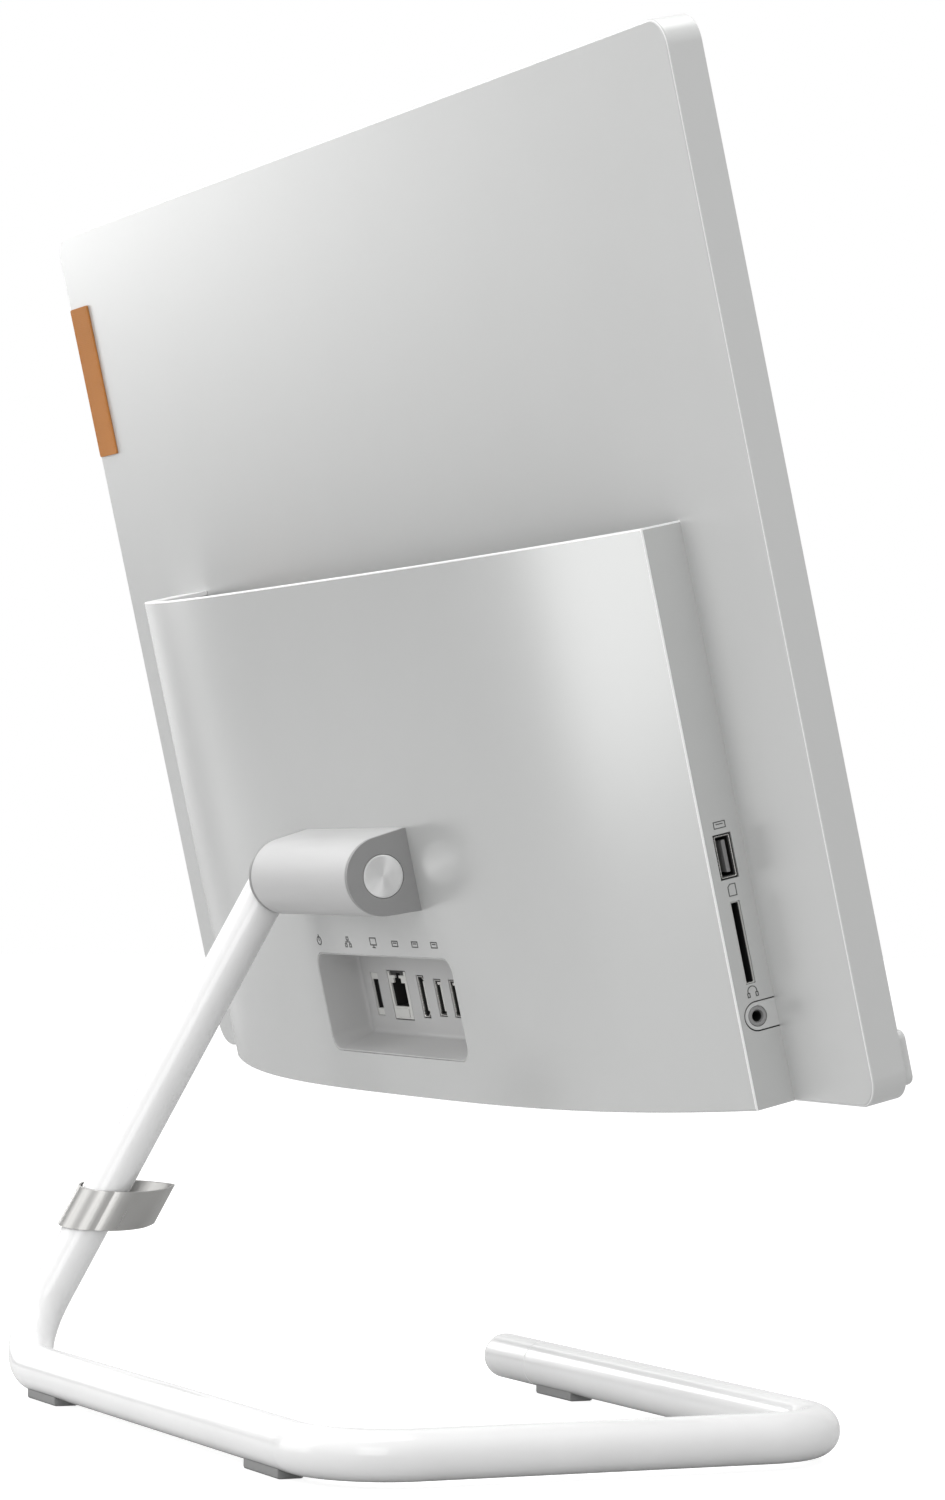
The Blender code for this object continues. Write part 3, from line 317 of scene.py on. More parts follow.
def finish(name, colour, roughness, metallic=0.0, grain=1500.0, bump=0.012, mottle=0.02,
           uneven=0.04, stretch=(1, 1, 1), specular=0.5, coat=0.0, anisotropic=0.0,
           worn=0.0, radial=None, woven=False):
    """Procedural finish: grain in the bump, uneven roughness, mottled colour, worn edges.

    colour is a grey level or a triple.
    """
    colour = (colour,) * 3 if isinstance(colour, float) else colour
    made = bpy.data.materials.new(name)
    made.use_nodes = True
    tree = made.node_tree
    place = tree.nodes.new("ShaderNodeTexCoord").outputs["Object"]
    mapping = wire(tree, "ShaderNodeMapping", {"Vector": place, "Scale": stretch})
    fine = wire(tree, "ShaderNodeTexNoise", {"Vector": mapping.outputs["Vector"], "Scale": grain,
                                             "Detail": 2.0, "Roughness": 0.55}).outputs["Fac"]
    broad = wire(tree, "ShaderNodeTexNoise", {"Vector": place, "Scale": 22.0, "Detail": 4.0,
                                              "Roughness": 0.6}).outputs["Fac"]
    relief = wire(tree, "ShaderNodeBump", {"Height": weave(tree, place) if woven else fine,
                                           "Strength": 1.0, "Distance": bump * MM})
    halved = ranged(tree, broad, (0.0, 1.0), 0.0, 0.5)
    blended = wire(tree, "ShaderNodeMath", {0: fine, 1: 0.5, 2: halved}, operation="MULTIPLY_ADD")
    rough = ranged(tree, blended.outputs["Value"], MOST_NOISE, max(roughness - uneven, 0.02),
                   roughness + uneven)

    def toned(factor, lift=0.0):
        return (*[min(channel * factor + lift, 1.0) for channel in colour], 1)

    shade = blend(tree, ranged(tree, broad, MOST_NOISE, 0.0, 1.0), toned(1 - mottle), toned(1 + mottle))
    if worn:
        pointed = tree.nodes.new("ShaderNodeNewGeometry").outputs["Pointiness"]
        shade = blend(tree, ranged(tree, pointed, WORN_EDGE, 0.0, worn), shade, toned(1.35, 0.02))
    shader = tree.nodes["Principled BSDF"]
    for key, value in (("Base Color", (*colour, 1)), ("Roughness", roughness), ("Metallic", metallic),
                       ("Specular IOR Level", specular), ("Coat Weight", coat),
                       ("Coat Roughness", 0.05), ("Anisotropic", anisotropic)):
        shader.inputs[key].default_value = value
    tree.links.new(shade, shader.inputs["Base Color"])
    tree.links.new(rough, shader.inputs["Roughness"])
    tree.links.new(relief.outputs["Normal"], shader.inputs["Normal"])
    if radial:
        tangent = wire(tree, "ShaderNodeTangent", {}, direction_type="RADIAL", axis=radial)
        tree.links.new(tangent.outputs["Tangent"], shader.inputs["Tangent"])
    return made


ALONG_Z = (1, 1, 0.02)
COVER_WHITE = finish("slab_silver_paint", (0.63, 0.635, 0.63), 0.32, 0.35, grain=1300, bump=0.002,
                     mottle=0.006, uneven=0.012)
HOUSING_PAINT = finish("housing_silver_paint", (0.60, 0.605, 0.60), 0.26, 0.42, grain=1700, bump=0.002,
                       mottle=0.006, uneven=0.012)
TRAY_PAINT = finish("tray_silver_white", (0.47, 0.47, 0.468), 0.45, grain=1700, bump=0.004, mottle=0.008)
# Lighter paint for chamfers, rounded corners, top rims and the end shelf, all of the same plastic: a painted
# highlight where light catches them.
PAINTED_EDGE_HIGHLIGHT = finish("painted_edge_highlight", 0.90, 0.30, 0.2, grain=1500, bump=0.002, mottle=0.006, uneven=0.02)
CHIN_WHITE = finish("chin_white", (0.80, 0.80, 0.79), 0.36, grain=1400, bump=0.006)
TUBE_PAINT = finish("tube_gloss_white", 0.80, 0.15, grain=500, bump=0.004, coat=0.4, uneven=0.03)
PLUG_WHITE = finish("plug_white", 0.80, 0.18, grain=700, bump=0.003, coat=0.3)
BEZEL_BLACK = finish("bezel_black", (0.012, 0.012, 0.013), 0.42, grain=2200, bump=0.01, worn=0.3)
GLASS_BLACK = finish("screen_black_glass", (0.008, 0.008, 0.010), 0.07, grain=300, bump=0.0008, uneven=0.02)
LENS_GLASS = finish("lens_glass", (0.012, 0.010, 0.022), 0.04, grain=300, bump=0.0004, uneven=0.01,
                    coat=1.0)
SOCKET_BLACK = finish("socket_black", 0.014, 0.5, grain=2500, bump=0.01)
SOCKET_PALE = finish("socket_pale_plastic", (0.60, 0.60, 0.58), 0.4, grain=2500, bump=0.006)
SOCKET_STEEL = finish("socket_nickel", (0.66, 0.65, 0.63), 0.26, 1.0, grain=2400, bump=0.01,
                      stretch=(1, 0.05, 1), worn=0.3)
GOLD = finish("contact_gold", (0.83, 0.60, 0.28), 0.25, 1.0, grain=2400, bump=0.004)
CLOTH = finish("speaker_cloth_grey", 0.44, 0.95, grain=2600, bump=0.05, woven=True,
               specular=0.2, mottle=0.06)
VENT_GREY = finish("vent_grey", 0.21, 0.5, grain=2000, bump=0.02, worn=0.2)
PLATE_GREY = finish("hinge_plate_grey", 0.27, 0.48, grain=1900, bump=0.012)
BLOCK_SILVER = finish("hinge_cover_silver", 0.52, 0.55, 0.15, grain=1300, bump=0.012,
                      stretch=(0.02, 1, 1), mottle=0.01, anisotropic=0.3)
SPUN = finish("spun_aluminium", 0.88, 0.42, 1.0, grain=1400, bump=0.004,
              anisotropic=0.85, radial="Z", uneven=0.03)
KEY_METAL = finish("key_metal", (0.70, 0.71, 0.71), 0.28, 1.0, grain=1800, bump=0.006, stretch=(0.05, 1, 1))
BRUSHED = finish("clip_brushed_steel", (0.44, 0.436, 0.425), 0.33, 1.0, grain=1500, bump=0.02,
                 stretch=ALONG_Z, anisotropic=0.5, uneven=0.07, mottle=0.05)
RUBBER = finish("foot_rubber", 0.30, 0.85, grain=1800, bump=0.04, specular=0.25, mottle=0.06)
TAG_TAN = finish("tag_fabric_tan", (0.46, 0.19, 0.055), 0.7, grain=2400, bump=0.05, woven=True,
                 specular=0.25, mottle=0.08)
PRINT_GREY = finish("print_grey", 0.05, 0.6, grain=2400, bump=0.003)
STEEL = finish("sheet_steel", (0.58, 0.58, 0.57), 0.34, 1.0, grain=1300, bump=0.01, worn=0.2)
SATIN_ALUMINIUM = finish("satin_aluminium", (0.74, 0.75, 0.75), 0.32, 1.0, grain=1500, bump=0.008,
                         stretch=(0.06, 1, 1))
COPPER = finish("copper", (0.78, 0.40, 0.25), 0.34, 1.0, grain=1300, bump=0.01, mottle=0.1)
BOARD = finish("board_green", (0.015, 0.085, 0.045), 0.5, grain=900, bump=0.05, mottle=0.25)
CHIP_BLACK = finish("chip_black", (0.02, 0.02, 0.022), 0.45, grain=1800, bump=0.02)
FAN_BLACK = finish("fan_black", 0.018, 0.5, grain=1900, bump=0.015)


# --- display slab

def add_slab():
    front = SLAB_LOW.y
    profile = [(CHAMFER + 0.15, 0), (CHAMFER, -0.04), (0.56, -0.27), (0.30, -0.52),
               (0.05, -CHAMFER + 0.04), (0, -CHAMFER - 0.1), (0, front + 0.4), (0.12, front + 0.12),
               (0.4, front), (WALL, front), (WALL, -WALL)]
    window = stack("y", box_outline("y", *WINDOW, 6), [(0, WINDOW[0][1]), (0, WINDOW[1][1])])
    key_low, key_high = span("power_button")
    key_hole = block((key_low.x - 0.3, key_low.y - 0.3, -1), (key_high.x + 0.3, key_high.y + 0.3, 4))
    outline = box_outline("y", SLAB_LOW, SLAB_HIGH, CORNER, 16)
    # The back's narrow chamfer faces get the lighter paint: a painted highlight along the rim.
    make("display_shell", stack("y", outline, profile), COVER_WHITE, cutters=[window, key_hole],
         node="rear_cover", crease=25,
         painted_highlight=(PAINTED_EDGE_HIGHLIGHT, lambda normal, centre: 0.5 < normal.y < 0.9 and -0.5 < centre.y < -0.3))

    low, high = span("front_bezel")
    glass_low, glass_high = span("screen_glass")
    lens_low, lens_high = span("webcam_lens")
    camera = middle(lens_low, lens_high, "xz")
    outer = box_outline("y", low, high, BEZEL_CORNER)

    def inner_edge(inset):
        edge = 2 - inset
        return rounded((glass_low.x + edge, glass_low.z + edge),
                       (glass_high.x - edge, glass_high.z - edge), 1 + inset)

    rings = [at("y", outer(inset), y) for inset, y in
             ((0, high.y), (0, low.y + 0.3), (0.09, low.y + 0.09), (0.3, low.y))]
    rings += [at("y", inner_edge(-inset), y) for inset, y in
              ((0.5, low.y), (0.15, low.y + 0.12), (0, low.y + 0.5), (0, high.y))]
    hole = disc("y", camera, [(LENS_HOLE, low.y - 1), (LENS_HOLE, high.y + 1)])
    make("bezel_frame", loft(rings, closed=True), BEZEL_BLACK, cutters=[hole], node="front_bezel")
    make("screen_pane", pad("y", glass_low, glass_high, 1.2, 0.15), GLASS_BLACK, node="screen_glass")

    face = lens_low.y
    barrel = [(1.9, -8.3), (1.9, face + 0.15), (1.75, face), (1.5, face), (1.3, face + 0.25),
              (1.15, face + 0.9)]
    make("webcam_barrel", disc("y", camera, barrel), SOCKET_BLACK, node="webcam_lens")
    dome = [(1.1, face + 1.2), (1.1, face + 0.8), (0.95, face + 0.62), (0.7, face + 0.5),
            (0.4, face + 0.43), (0.08, face + 0.41)]
    make("webcam_dome", disc("y", camera, dome, 32), LENS_GLASS)

    low, high = span("webcam_shutter")
    ribs = [pad("x", (high.x - offset, low.y - 1, low.z + 0.7),
                (high.x - offset + 0.45, low.y + 0.45, high.z - 0.7), 0.2, 0.05)
            for offset in (2.0, 3.0, 4.0)]
    make("shutter_slider", pad("y", low, high, 1.0, 0.25), BEZEL_BLACK, body="camera_shutter",
         cutters=ribs, node="webcam_shutter")


def add_chin():
    low, high = span("chin_bar")
    front = low.y
    outline = box_outline("y", low, high, CHIN_CORNER, 10)
    profile = [(0, high.y), (0, front + 1.4), (0.1, front + 0.85), (0.38, front + 0.4),
               (0.8, front + 0.1), (1.4, front)]
    cloth_low, cloth_high = span("speaker_cloth")
    edge = 0.3
    groove = stack("y", lambda inset: rounded((cloth_low.x - edge - inset, cloth_low.z - edge - inset),
                                              (cloth_high.x + edge + inset, cloth_high.z + edge + inset),
                                              2.0 + inset),
                   [(0, front + 1.6), (0, front + 0.35), (0.12, front + 0.1), (0.4, front - 0.1),
                    (0.4, front - 1)])
    passages = [block((side * 200 - 34, -15.5, 9.5), (side * 200 + 34, -11, 15.5)) for side in (-1, 1)]
    make("chin_bar_body", stack("y", outline, profile), COVER_WHITE, cutters=[groove, *passages],
         node="chin_bar")

    columns = int((cloth_high.x - cloth_low.x) / WEAVE_PITCH)
    rows = 16
    shape = bmesh.new()
    grid = []
    for column in range(columns + 1):
        x = cloth_low.x + (cloth_high.x - cloth_low.x) * column / columns
        line = []
        for row in range(rows + 1):
            z = cloth_low.z + (cloth_high.z - cloth_low.z) * row / rows
            over = 0.12 * ((column + row) % 2)
            border = 0.45 if row in (0, rows) or column in (0, columns) else 0.0
            line.append(shape.verts.new((x, cloth_low.y + over + border, z)))
        grid.append(line)
    for column in range(columns):
        for row in range(rows):
            shape.faces.new((grid[column][row], grid[column + 1][row], grid[column + 1][row + 1],
                             grid[column][row + 1]))
    back = {}
    rim = [(c, 0) for c in range(columns)] + [(columns, r) for r in range(rows)]
    rim += [(c, rows) for c in range(columns, 0, -1)] + [(0, r) for r in range(rows, 0, -1)]
    for column, row in rim:
        x, _, z = grid[column][row].co
        back[column, row] = shape.verts.new((x, cloth_high.y, z))
    for here, after in zip(rim, rim[1:] + rim[:1]):
        shape.faces.new((grid[here[0]][here[1]], grid[after[0]][after[1]], back[after], back[here]))
    shape.faces.new([back[key] for key in rim])
    make("speaker_weave", shape, CLOTH, node="speaker_cloth", crease=80)


def add_power_key():
    low, high = span("power_button")
    face = low.z

    def outline(inset):
        return rounded((low.x + inset, low.y + inset), (high.x - inset, high.y - inset),
                       (high.y - low.y) / 2 - inset - 0.01, 12)
    profile = [(0.45, face), (0.15, face + 0.12), (0, face + 0.45), (0, high.z)]
    make("power_key_cap", stack("z", outline, profile), KEY_METAL, body="power_key", node="power_button")
    centre = Vector(((low.x + high.x) / 2, (low.y + high.y) / 2))
    arc = [(math.sin(math.radians(a)) * 0.85, math.cos(math.radians(a)) * 0.85)
           for a in range(40, 321, 20)]
    lines = [(arc, False), ([(0, 0.35), (0, 1.1)], False)]
    symbol = strokes(lines, 0.22, 0.05, lambda u, v, w: (centre.x + u, centre.y + v, face - w))
    make("power_symbol", symbol, PRINT_GREY, body="power_key")


def strokes(lines, width, height, place):
    """Raised ribbons along (u, v) lines. place(u, v, w) gives each point's spot in space."""
    shapes = []
    for points, closed in lines:
        points = [Vector(point) for point in points]
        rings = []
        for index, point in enumerate(points):
            before = points[index - 1] if closed or index else point
            after = points[(index + 1) % len(points)] if closed or index + 1 < len(points) else point
            along = ((point - before).normalized() + (after - point).normalized()).normalized()
            incoming = (point - before).normalized() if (point - before).length else along
            stretch = 1 / max(along.dot(incoming), 0.5)
            across = Vector((-along.y, along.x)) * width / 2 * stretch
            rings.append([place(*(point - across), 0), place(*(point + across), 0),
                          place(*(point + across), height), place(*(point - across), height)])
        shapes.append(loft(rings, closed))
    return merge(shapes)


# --- electronics housing

def bulge(x):
    """Depth of the housing's outer face behind the slab, at x across."""
    return EDGE + (MIDDLE - EDGE) * (1 - min(1.0, abs(x) / HALF) ** POWER)


def housing_outline(inset, front, columns=120, turn_in=0.6):
    """Plan of the housing, shrunk by inset, with its two rear corners rounded."""
    half = HALF - inset
    slope = POWER * (MIDDLE - EDGE) / HALF
    along = Vector((1, slope)).normalized()
    corner = Vector((-half, EDGE - inset))
    start, end = corner - Vector((0, turn_in)), corner + along * turn_in
    left = [(-half, front)]
    for step in range(6):
        t = step / 5
        left.append(tuple(start * (1 - t) ** 2 + corner * 2 * t * (1 - t) + end * t * t))
    middle = []
    for step in range(1, columns):
        x = (half - turn_in) * math.sin(math.pi * (step / columns - 0.5))
        middle.append((x, bulge(x / half * HALF) - inset))
    right = [(-x, y) for x, y in reversed(left)]
    return left + middle + right


def add_housing():
    top = HOUSING_HIGH.z
    outer = [(0.5, 0.2), (0.15, 0.35), (0, 0.75), (0, top - 0.6), (0.12, top - 0.2), (0.45, top)]
    shape = stack("z", lambda inset: housing_outline(inset, -0.02), outer)
    inner = [(SHELL, 2.2), (SHELL, top - 0.6), (SHELL - 0.15, top - 0.2), (SHELL - 0.5, top + 0.02),
             (SHELL - 0.6, top + 2)]
    cavity = stack("z", lambda inset: housing_outline(inset, -2), inner)
    recess = stack("y", lambda inset: rounded(*RECESS, RECESS_CORNER, 12), [(0, 20), (0, 50)])
    end_wall = []
    for node in ("side_usb_port", "card_reader"):
        low, high = span(node)
        margin = 0.5 if node == "side_usb_port" else 0.12
        end_wall.append(block((-HALF - 1, low.y - margin, low.z - margin),
                              (-HALF + 4, high.y + margin, high.z + margin)))
    end_wall.append(loft([at("x", jack_panel(-0.42, -1), x) for x in (-HALF - 1, -HALF + 4)]))

    # Faces of the rounded corner at the port end and along the top rim take the lighter paint: a painted
    # highlight where light catches them.
    def bright(normal, centre):
        corner = -HALF - 0.1 < centre.x < 0.75 - HALF and normal.y > 0.25 and abs(normal.x) > 0.4
        return corner or centre.z > top - 0.7 and 0.2 < normal.z
    make("housing_shell", shape, HOUSING_PAINT, cutters=[cavity, recess, *end_wall],
         node="rear_housing", crease=24, painted_highlight=(PAINTED_EDGE_HIGHLIGHT, bright))

    # The end shelf is laid wholly in the lighter paint: a painted highlight on its upward face.
    level = top - 0.02
    inside = HALF - 0.6
    edge = [SHELF_START + (inside - SHELF_START) * step / 12 for step in range(13)]
    outline = [(SHELF_START, 0.1), (inside, 0.1)]
    outline += [(x, bulge(x / inside * HALF) - 0.6) for x in reversed(edge)]
    make("housing_end_shelf", loft([at("z", outline, z) for z in (level - SHELF_THICK, level)]), PAINTED_EDGE_HIGHLIGHT,
         soften=0.1)


def add_vent():
    low, high = span("top_vent_grille")
    half = high.x
    spots = [half * math.sin(math.pi * (step / 96 - 0.5)) for step in range(97)]
    outline = [(-half, low.y), *[(x, bulge(x / half * HALF) - SHELL - 0.3) for x in spots], (half, low.y)]
    slots = []
    for column in range(VENT_SLOTS):
        x = VENT_PITCH * (column - (VENT_SLOTS - 1) / 2)
        depth = bulge(abs(x) + 4) - 6
        slots.append(loft([at("z", rounded((x - VENT_SLOT / 2, 4), (x + VENT_SLOT / 2, depth), 3.4, 6), z)
                           for z in (low.z - 2, high.z + 1)]))
    make("vent_grille", loft([at("z", outline, z) for z in (low.z, high.z)]), VENT_GREY,
         cutters=[merge(slots)], node="top_vent_grille", soften=0.2)


def add_tray():
    (x0, z0), (x1, z1) = RECESS

    def ring(inset, drop=None, floor=None):
        points = rounded((x0 + inset, z0 + inset), (x1 - inset, z1 - inset),
                         max(RECESS_CORNER - inset * 0.8, 2.2), 12)
        return [(x, bulge(x) - drop if floor is None else floor, z) for x, z in points]

    floor = RECESS_FLOOR
    rings = [ring(2.8, floor=floor - 1.5), ring(0.05, drop=1.2), ring(0.05, drop=0.2),
             ring(0.12, drop=0.05), ring(0.28, drop=0.0), ring(0.5, drop=0.06), ring(0.62, drop=0.25),
             ring(0.7, drop=0.6), ring(3.3, floor=floor + 1.7), ring(3.45, floor=floor + 1.0),
             ring(3.8, floor=floor + 0.4), ring(4.3, floor=floor + 0.1), ring(5.0, floor=floor)]
    holes = []
    for name in (*REAR_PORTS, "lan_jack"):
        low, high = span(name)
        gap = 0.1 if name == "dc_in_jack" else SOCKET_GAP
        holes.append(block((low.x - gap, floor - 6, low.z - gap), (high.x + gap, floor + 3, high.z + gap)))
    make("recess_tray", loft(rings), TRAY_PAINT, cutters=[merge(holes)], node="io_tray", crease=40)


# --- sockets

USB_PORTS = ("usb_port_1", "usb_port_2", "usb_port_3")
REAR_PORTS = {
    # name: trimmed corners, shell look, tongue (across, tall, shift), tongue look
    "dc_in_jack": (0.0, SOCKET_PALE, (1.2, 9.0, 0.0), SOCKET_BLACK),
    "hdmi_port": (1.6, SOCKET_STEEL, (1.0, 11.0, 0.2), SOCKET_PALE),
    **{name: (0.0, SOCKET_STEEL, (1.1, 10.4, 0.2), SOCKET_PALE) for name in USB_PORTS},
}


def socket_outline(low, high, trim, inset):
    """Mouth of a connector as pairs, its corners on the -first side trimmed."""
    x0, x1, z0, z1 = low[0] + inset, high[0] - inset, low[1] + inset, high[1] - inset
    if not trim:
        return rounded((x0, z0), (x1, z1), max(0.55 - inset, 0.15), 4)
    slack = trim - inset * 0.4
    return [(x0 + slack, z0), (x1 - 0.3, z0), (x1, z0 + 0.3), (x1, z1 - 0.3), (x1 - 0.3, z1),
            (x0 + slack, z1), (x0, z1 - slack), (x0, z0 + slack)]


def add_gap(name, outline, face, place=None):
    """Black ring in the gap round a connector, just below its face: painted shade where the gap would be
    dark.
    """
    out, into = -SOCKET_GAP - 0.05, -0.02
    ring = [(out, face - 1.0), (out, face - 0.3), (into, face - 0.3), (into, face - 1.0)]
    make(name, stack("y", outline, ring, closed=True), SOCKET_BLACK, place=place)


def add_socket(name, node, place, trim, shell, tongue, tongue_look):
    """Connector that faces +y in its own coordinates: shell, a black lining inside it that is painted shade,
    tongue and contacts.
    """
    low, high = span(node, place)
    face, back = high.y, low.y
    depth = back + 2.5

    def outline(inset):
        return socket_outline((low.x, low.z), (high.x, high.z), trim, inset)

    profile = [(0, back), (0, face - 0.12), (0.1, face), (0.26, face), (0.36, face - 0.12), (0.36, depth)]
    make(f"{name}_shell", stack("y", outline, profile), shell, place=place, node=node)
    # Black lining inside the shell past its first half millimetre: painted shade in the socket's depth.
    shade_lining = [(0.37, depth - 0.3), (0.37, face - 0.5), (0.6, face - 0.6), (0.6, depth + 0.3)]
    make(f"{name}_liner", stack("y", outline, shade_lining), SOCKET_BLACK, place=place)
    add_gap(f"{name}_gap", outline, face, place)
    across, tall, shift = tongue
    centre = ((low.x + high.x) / 2 + shift, (low.z + high.z) / 2)
    near = (centre[0] - across / 2, depth, centre[1] - tall / 2)
    far = (centre[0] + across / 2, face - 0.9, centre[1] + tall / 2)
    make(f"{name}_tongue", pad("y", near, far, 0.25, 0.15), tongue_look, place=place)
    contacts = [pad("y", (near[0] - 0.12, depth + 0.3, centre[1] + offset - 0.55),
                    (near[0] + 0.05, far[1] - 0.6, centre[1] + offset + 0.55), 0.05, 0.03, 1)
                for offset in (-3.6, -1.2, 1.2, 3.6)]
    make(f"{name}_contacts", merge(contacts), GOLD, place=place)


def mouth_cuts(centre, face):
    """Network socket's opening: a wide mouth with two steps above it for the plug's latch."""
    return [block((centre[0] - half, face - 9, centre[1] + bottom),
                  (centre[0] + half, face + 2, centre[1] + top))
            for half, bottom, top in ((6.2, -4.2, 4.6), (3.3, 3, 6.4), (1.7, 5, 8.2))]


def add_rear_ports():
    for node, port in REAR_PORTS.items():
        add_socket(node.replace("_port", "").replace("_jack", ""), node, DISPLAY, *port)
    low, high = span("dc_in_jack")
    plates = [pad("y", (low.x + 0.3, high.y - 2.2, z - 1.1), (high.x - 0.3, high.y - 0.15, z + 1.1), 0.3, 0.1)
              for z in (low.z + 1.4, high.z - 1.4)]
    make("dc_in_end_plates", merge(plates), SOCKET_PALE)
    for name in USB_PORTS:
        low, high = span(name)
        spring = pad("y", (low.x + 1.2, high.y - 2.6, high.z - 2.0),
                     (high.x - 1.2, high.y - 0.5, high.z - 0.9), 0.2, 0.1)
        make(f"{name}_spring", spring, SOCKET_STEEL)

    low, high = span("lan_jack")
    centre = middle(low, high, "xz")
    make("lan_body", block((low.x + 0.1, low.y, low.z + 0.1), (high.x - 0.1, high.y - 0.5, high.z - 0.1)),
         SOCKET_BLACK, cutters=mouth_cuts(centre, high.y), node="lan_jack")
    plate = pad("y", (low.x, high.y - 0.45, low.z), (high.x, high.y + 0.2, high.z), 0.6, 0.15)
    top_band = block((centre[0] - 6.4, high.y - 2, centre[1] + 7.4),
                     (centre[0] + 6.4, high.y + 2, high.z + 1))
    make("lan_frame", plate, SOCKET_PALE, cutters=[*mouth_cuts(centre, high.y), top_band])
    add_gap("lan_gap", lambda inset: socket_outline((low.x, low.z), (high.x, high.z), 0, inset), high.y)
    pins = [pad("y", (centre[0] + offset - 0.2, high.y - 8.8, centre[1] - 3.4),
                (centre[0] + offset + 0.2, high.y - 4.5, centre[1] - 3.0), 0.1, 0.05, 2)
            for offset in [-3.57 + 1.02 * index for index in range(8)]]
    make("lan_contacts", merge(pins), GOLD)
    flap = pad("y", (centre[0] - 5.6, high.y + 0.1, centre[1] - 8.1),
               (centre[0] + 5.6, high.y + 0.6, centre[1] - 4.9), 0.5, 0.15)
    make("lan_flap", flap, SOCKET_PALE)


def jack_panel(inset, front=0.02):
    """Panel that is round towards the rear and runs into the slab, as (y, z)."""
    low, high = span("headset_panel")
    z = (low.z + high.z) / 2
    radius = (high.z - low.z) / 2 - inset
    y = high.y - (high.z - low.z) / 2
    points = [(front, z - radius)]
    points += [(y + radius * math.cos(math.radians(a)), z + radius * math.sin(math.radians(a)))
               for a in range(-90, 91, 6)]
    return points + [(front, z + radius)]


def add_side_ports():
    """Sockets in the housing's end wall, whose own +y points out of that wall."""
    turned = DISPLAY @ Matrix.Rotation(math.radians(90), 4, "Z")
    add_socket("side_usb", "side_usb_port", turned, 0.0, SOCKET_STEEL, (1.4, 10.4, -0.6), VENT_GREY)
    low, high = span("card_reader", turned)

    def outline(inset):
        return rounded((low.x + inset, low.z + inset), (high.x - inset, high.z - inset),
                       0.5 - inset * 0.5, 4)

    face = high.y
    profile = [(0, low.y), (0, face - 0.1), (0.08, face), (0.2, face), (0.28, face - 0.12), (0.3, face - 0.5),
               (0.3, low.y + 2)]
    make("card_slot_rim", stack("y", outline, profile), SOCKET_PALE, place=turned, node="card_reader")
    # Black lining inside the slot: painted shade in its depth.
    shade_lining = [(0.31, low.y + 2.1), (0.31, face - 0.5), (0.45, face - 0.6), (0.45, low.y + 2.4)]
    make("card_slot_shade_lining", stack("y", outline, shade_lining), SOCKET_BLACK, place=turned)

    low, high = span("headset_panel")
    jack_low, jack_high = span("headset_jack")
    centre = middle(jack_low, jack_high, "yz")
    hole = disc("x", centre, [(JACK_HOLE, low.x - 2), (JACK_HOLE, high.x + 2)])
    make("headset_plate", stack("x", jack_panel, rims(low.x, high.x, 0.15)), COVER_WHITE, cutters=[hole],
         node="headset_panel")
    # A black border below the face fills the gap round the panel: painted shade.
    border = [at("x", jack_panel(inset), x) for inset, x in
              ((-0.44, low.x + 1.2), (-0.44, low.x + 0.3), (-0.01, low.x + 0.3), (-0.01, low.x + 1.2))]
    make("headset_gap", loft(border, closed=True), SOCKET_BLACK)
    start = jack_low.x
    rings = [(3.2, jack_high.x), (3.2, start + 0.3), (3.0, start + 0.05), (2.7, start), (2.1, start + 0.15),
             (1.85, start + 0.6), (1.8, start + 11)]
    make("headset_ring", disc("x", centre, rings), PLATE_GREY, node="headset_jack")
    bore = [(1.78, start + 10.9), (1.78, start + 1.2), (1.55, start + 1.2), (1.55, start + 10.5)]
    make("headset_bore", disc("x", centre, bore), SOCKET_BLACK)


def box_line(u0, v0, u1, v1):
    return [(u0, v0), (u1, v0), (u1, v1), (u0, v1)]


def ring_line(u, v, radius, steps=20):
    return [(u + a, v + b) for a, b in circle((0, 0), radius, steps)]


PICTOGRAMS = {
    "power": [(ring_line(0, 0, 1.9), True), ([(0, -0.2), (0, 3.0)], False)],
    "network": [(box_line(-0.9, 0.9, 0.9, 2.3), True), (box_line(-2.7, -2.3, -1.1, -0.9), True),
                (box_line(1.1, -2.3, 2.7, -0.9), True), ([(0, 0.8), (0, 0.1)], False),
                ([(-1.9, -0.8), (-1.9, 0), (1.9, 0), (1.9, -0.8)], False)],
    "screen": [(box_line(-2.6, -0.9, 2.6, 2.3), True), ([(-1.3, -2.1), (1.3, -2.1)], False),
               ([(0, -1.0), (0, -2.0)], False)],
    "port": [(box_line(-2.4, -1.2, 2.4, 1.2), True), ([(-1.5, 0.3), (1.5, 0.3)], False)],
    "card": [([(-1.6, -2.2), (1.6, -2.2), (1.6, 2.2), (-0.6, 2.2), (-1.6, 1.2)], True)],
    "headset": [([(1.9 * math.cos(math.radians(a)), 1.9 * math.sin(math.radians(a)) + 0.2)
                  for a in range(-20, 201, 20)], False),
                (box_line(-2.2, -1.9, -1.3, -0.4), True), (box_line(1.3, -1.9, 2.2, -0.4), True)],
}


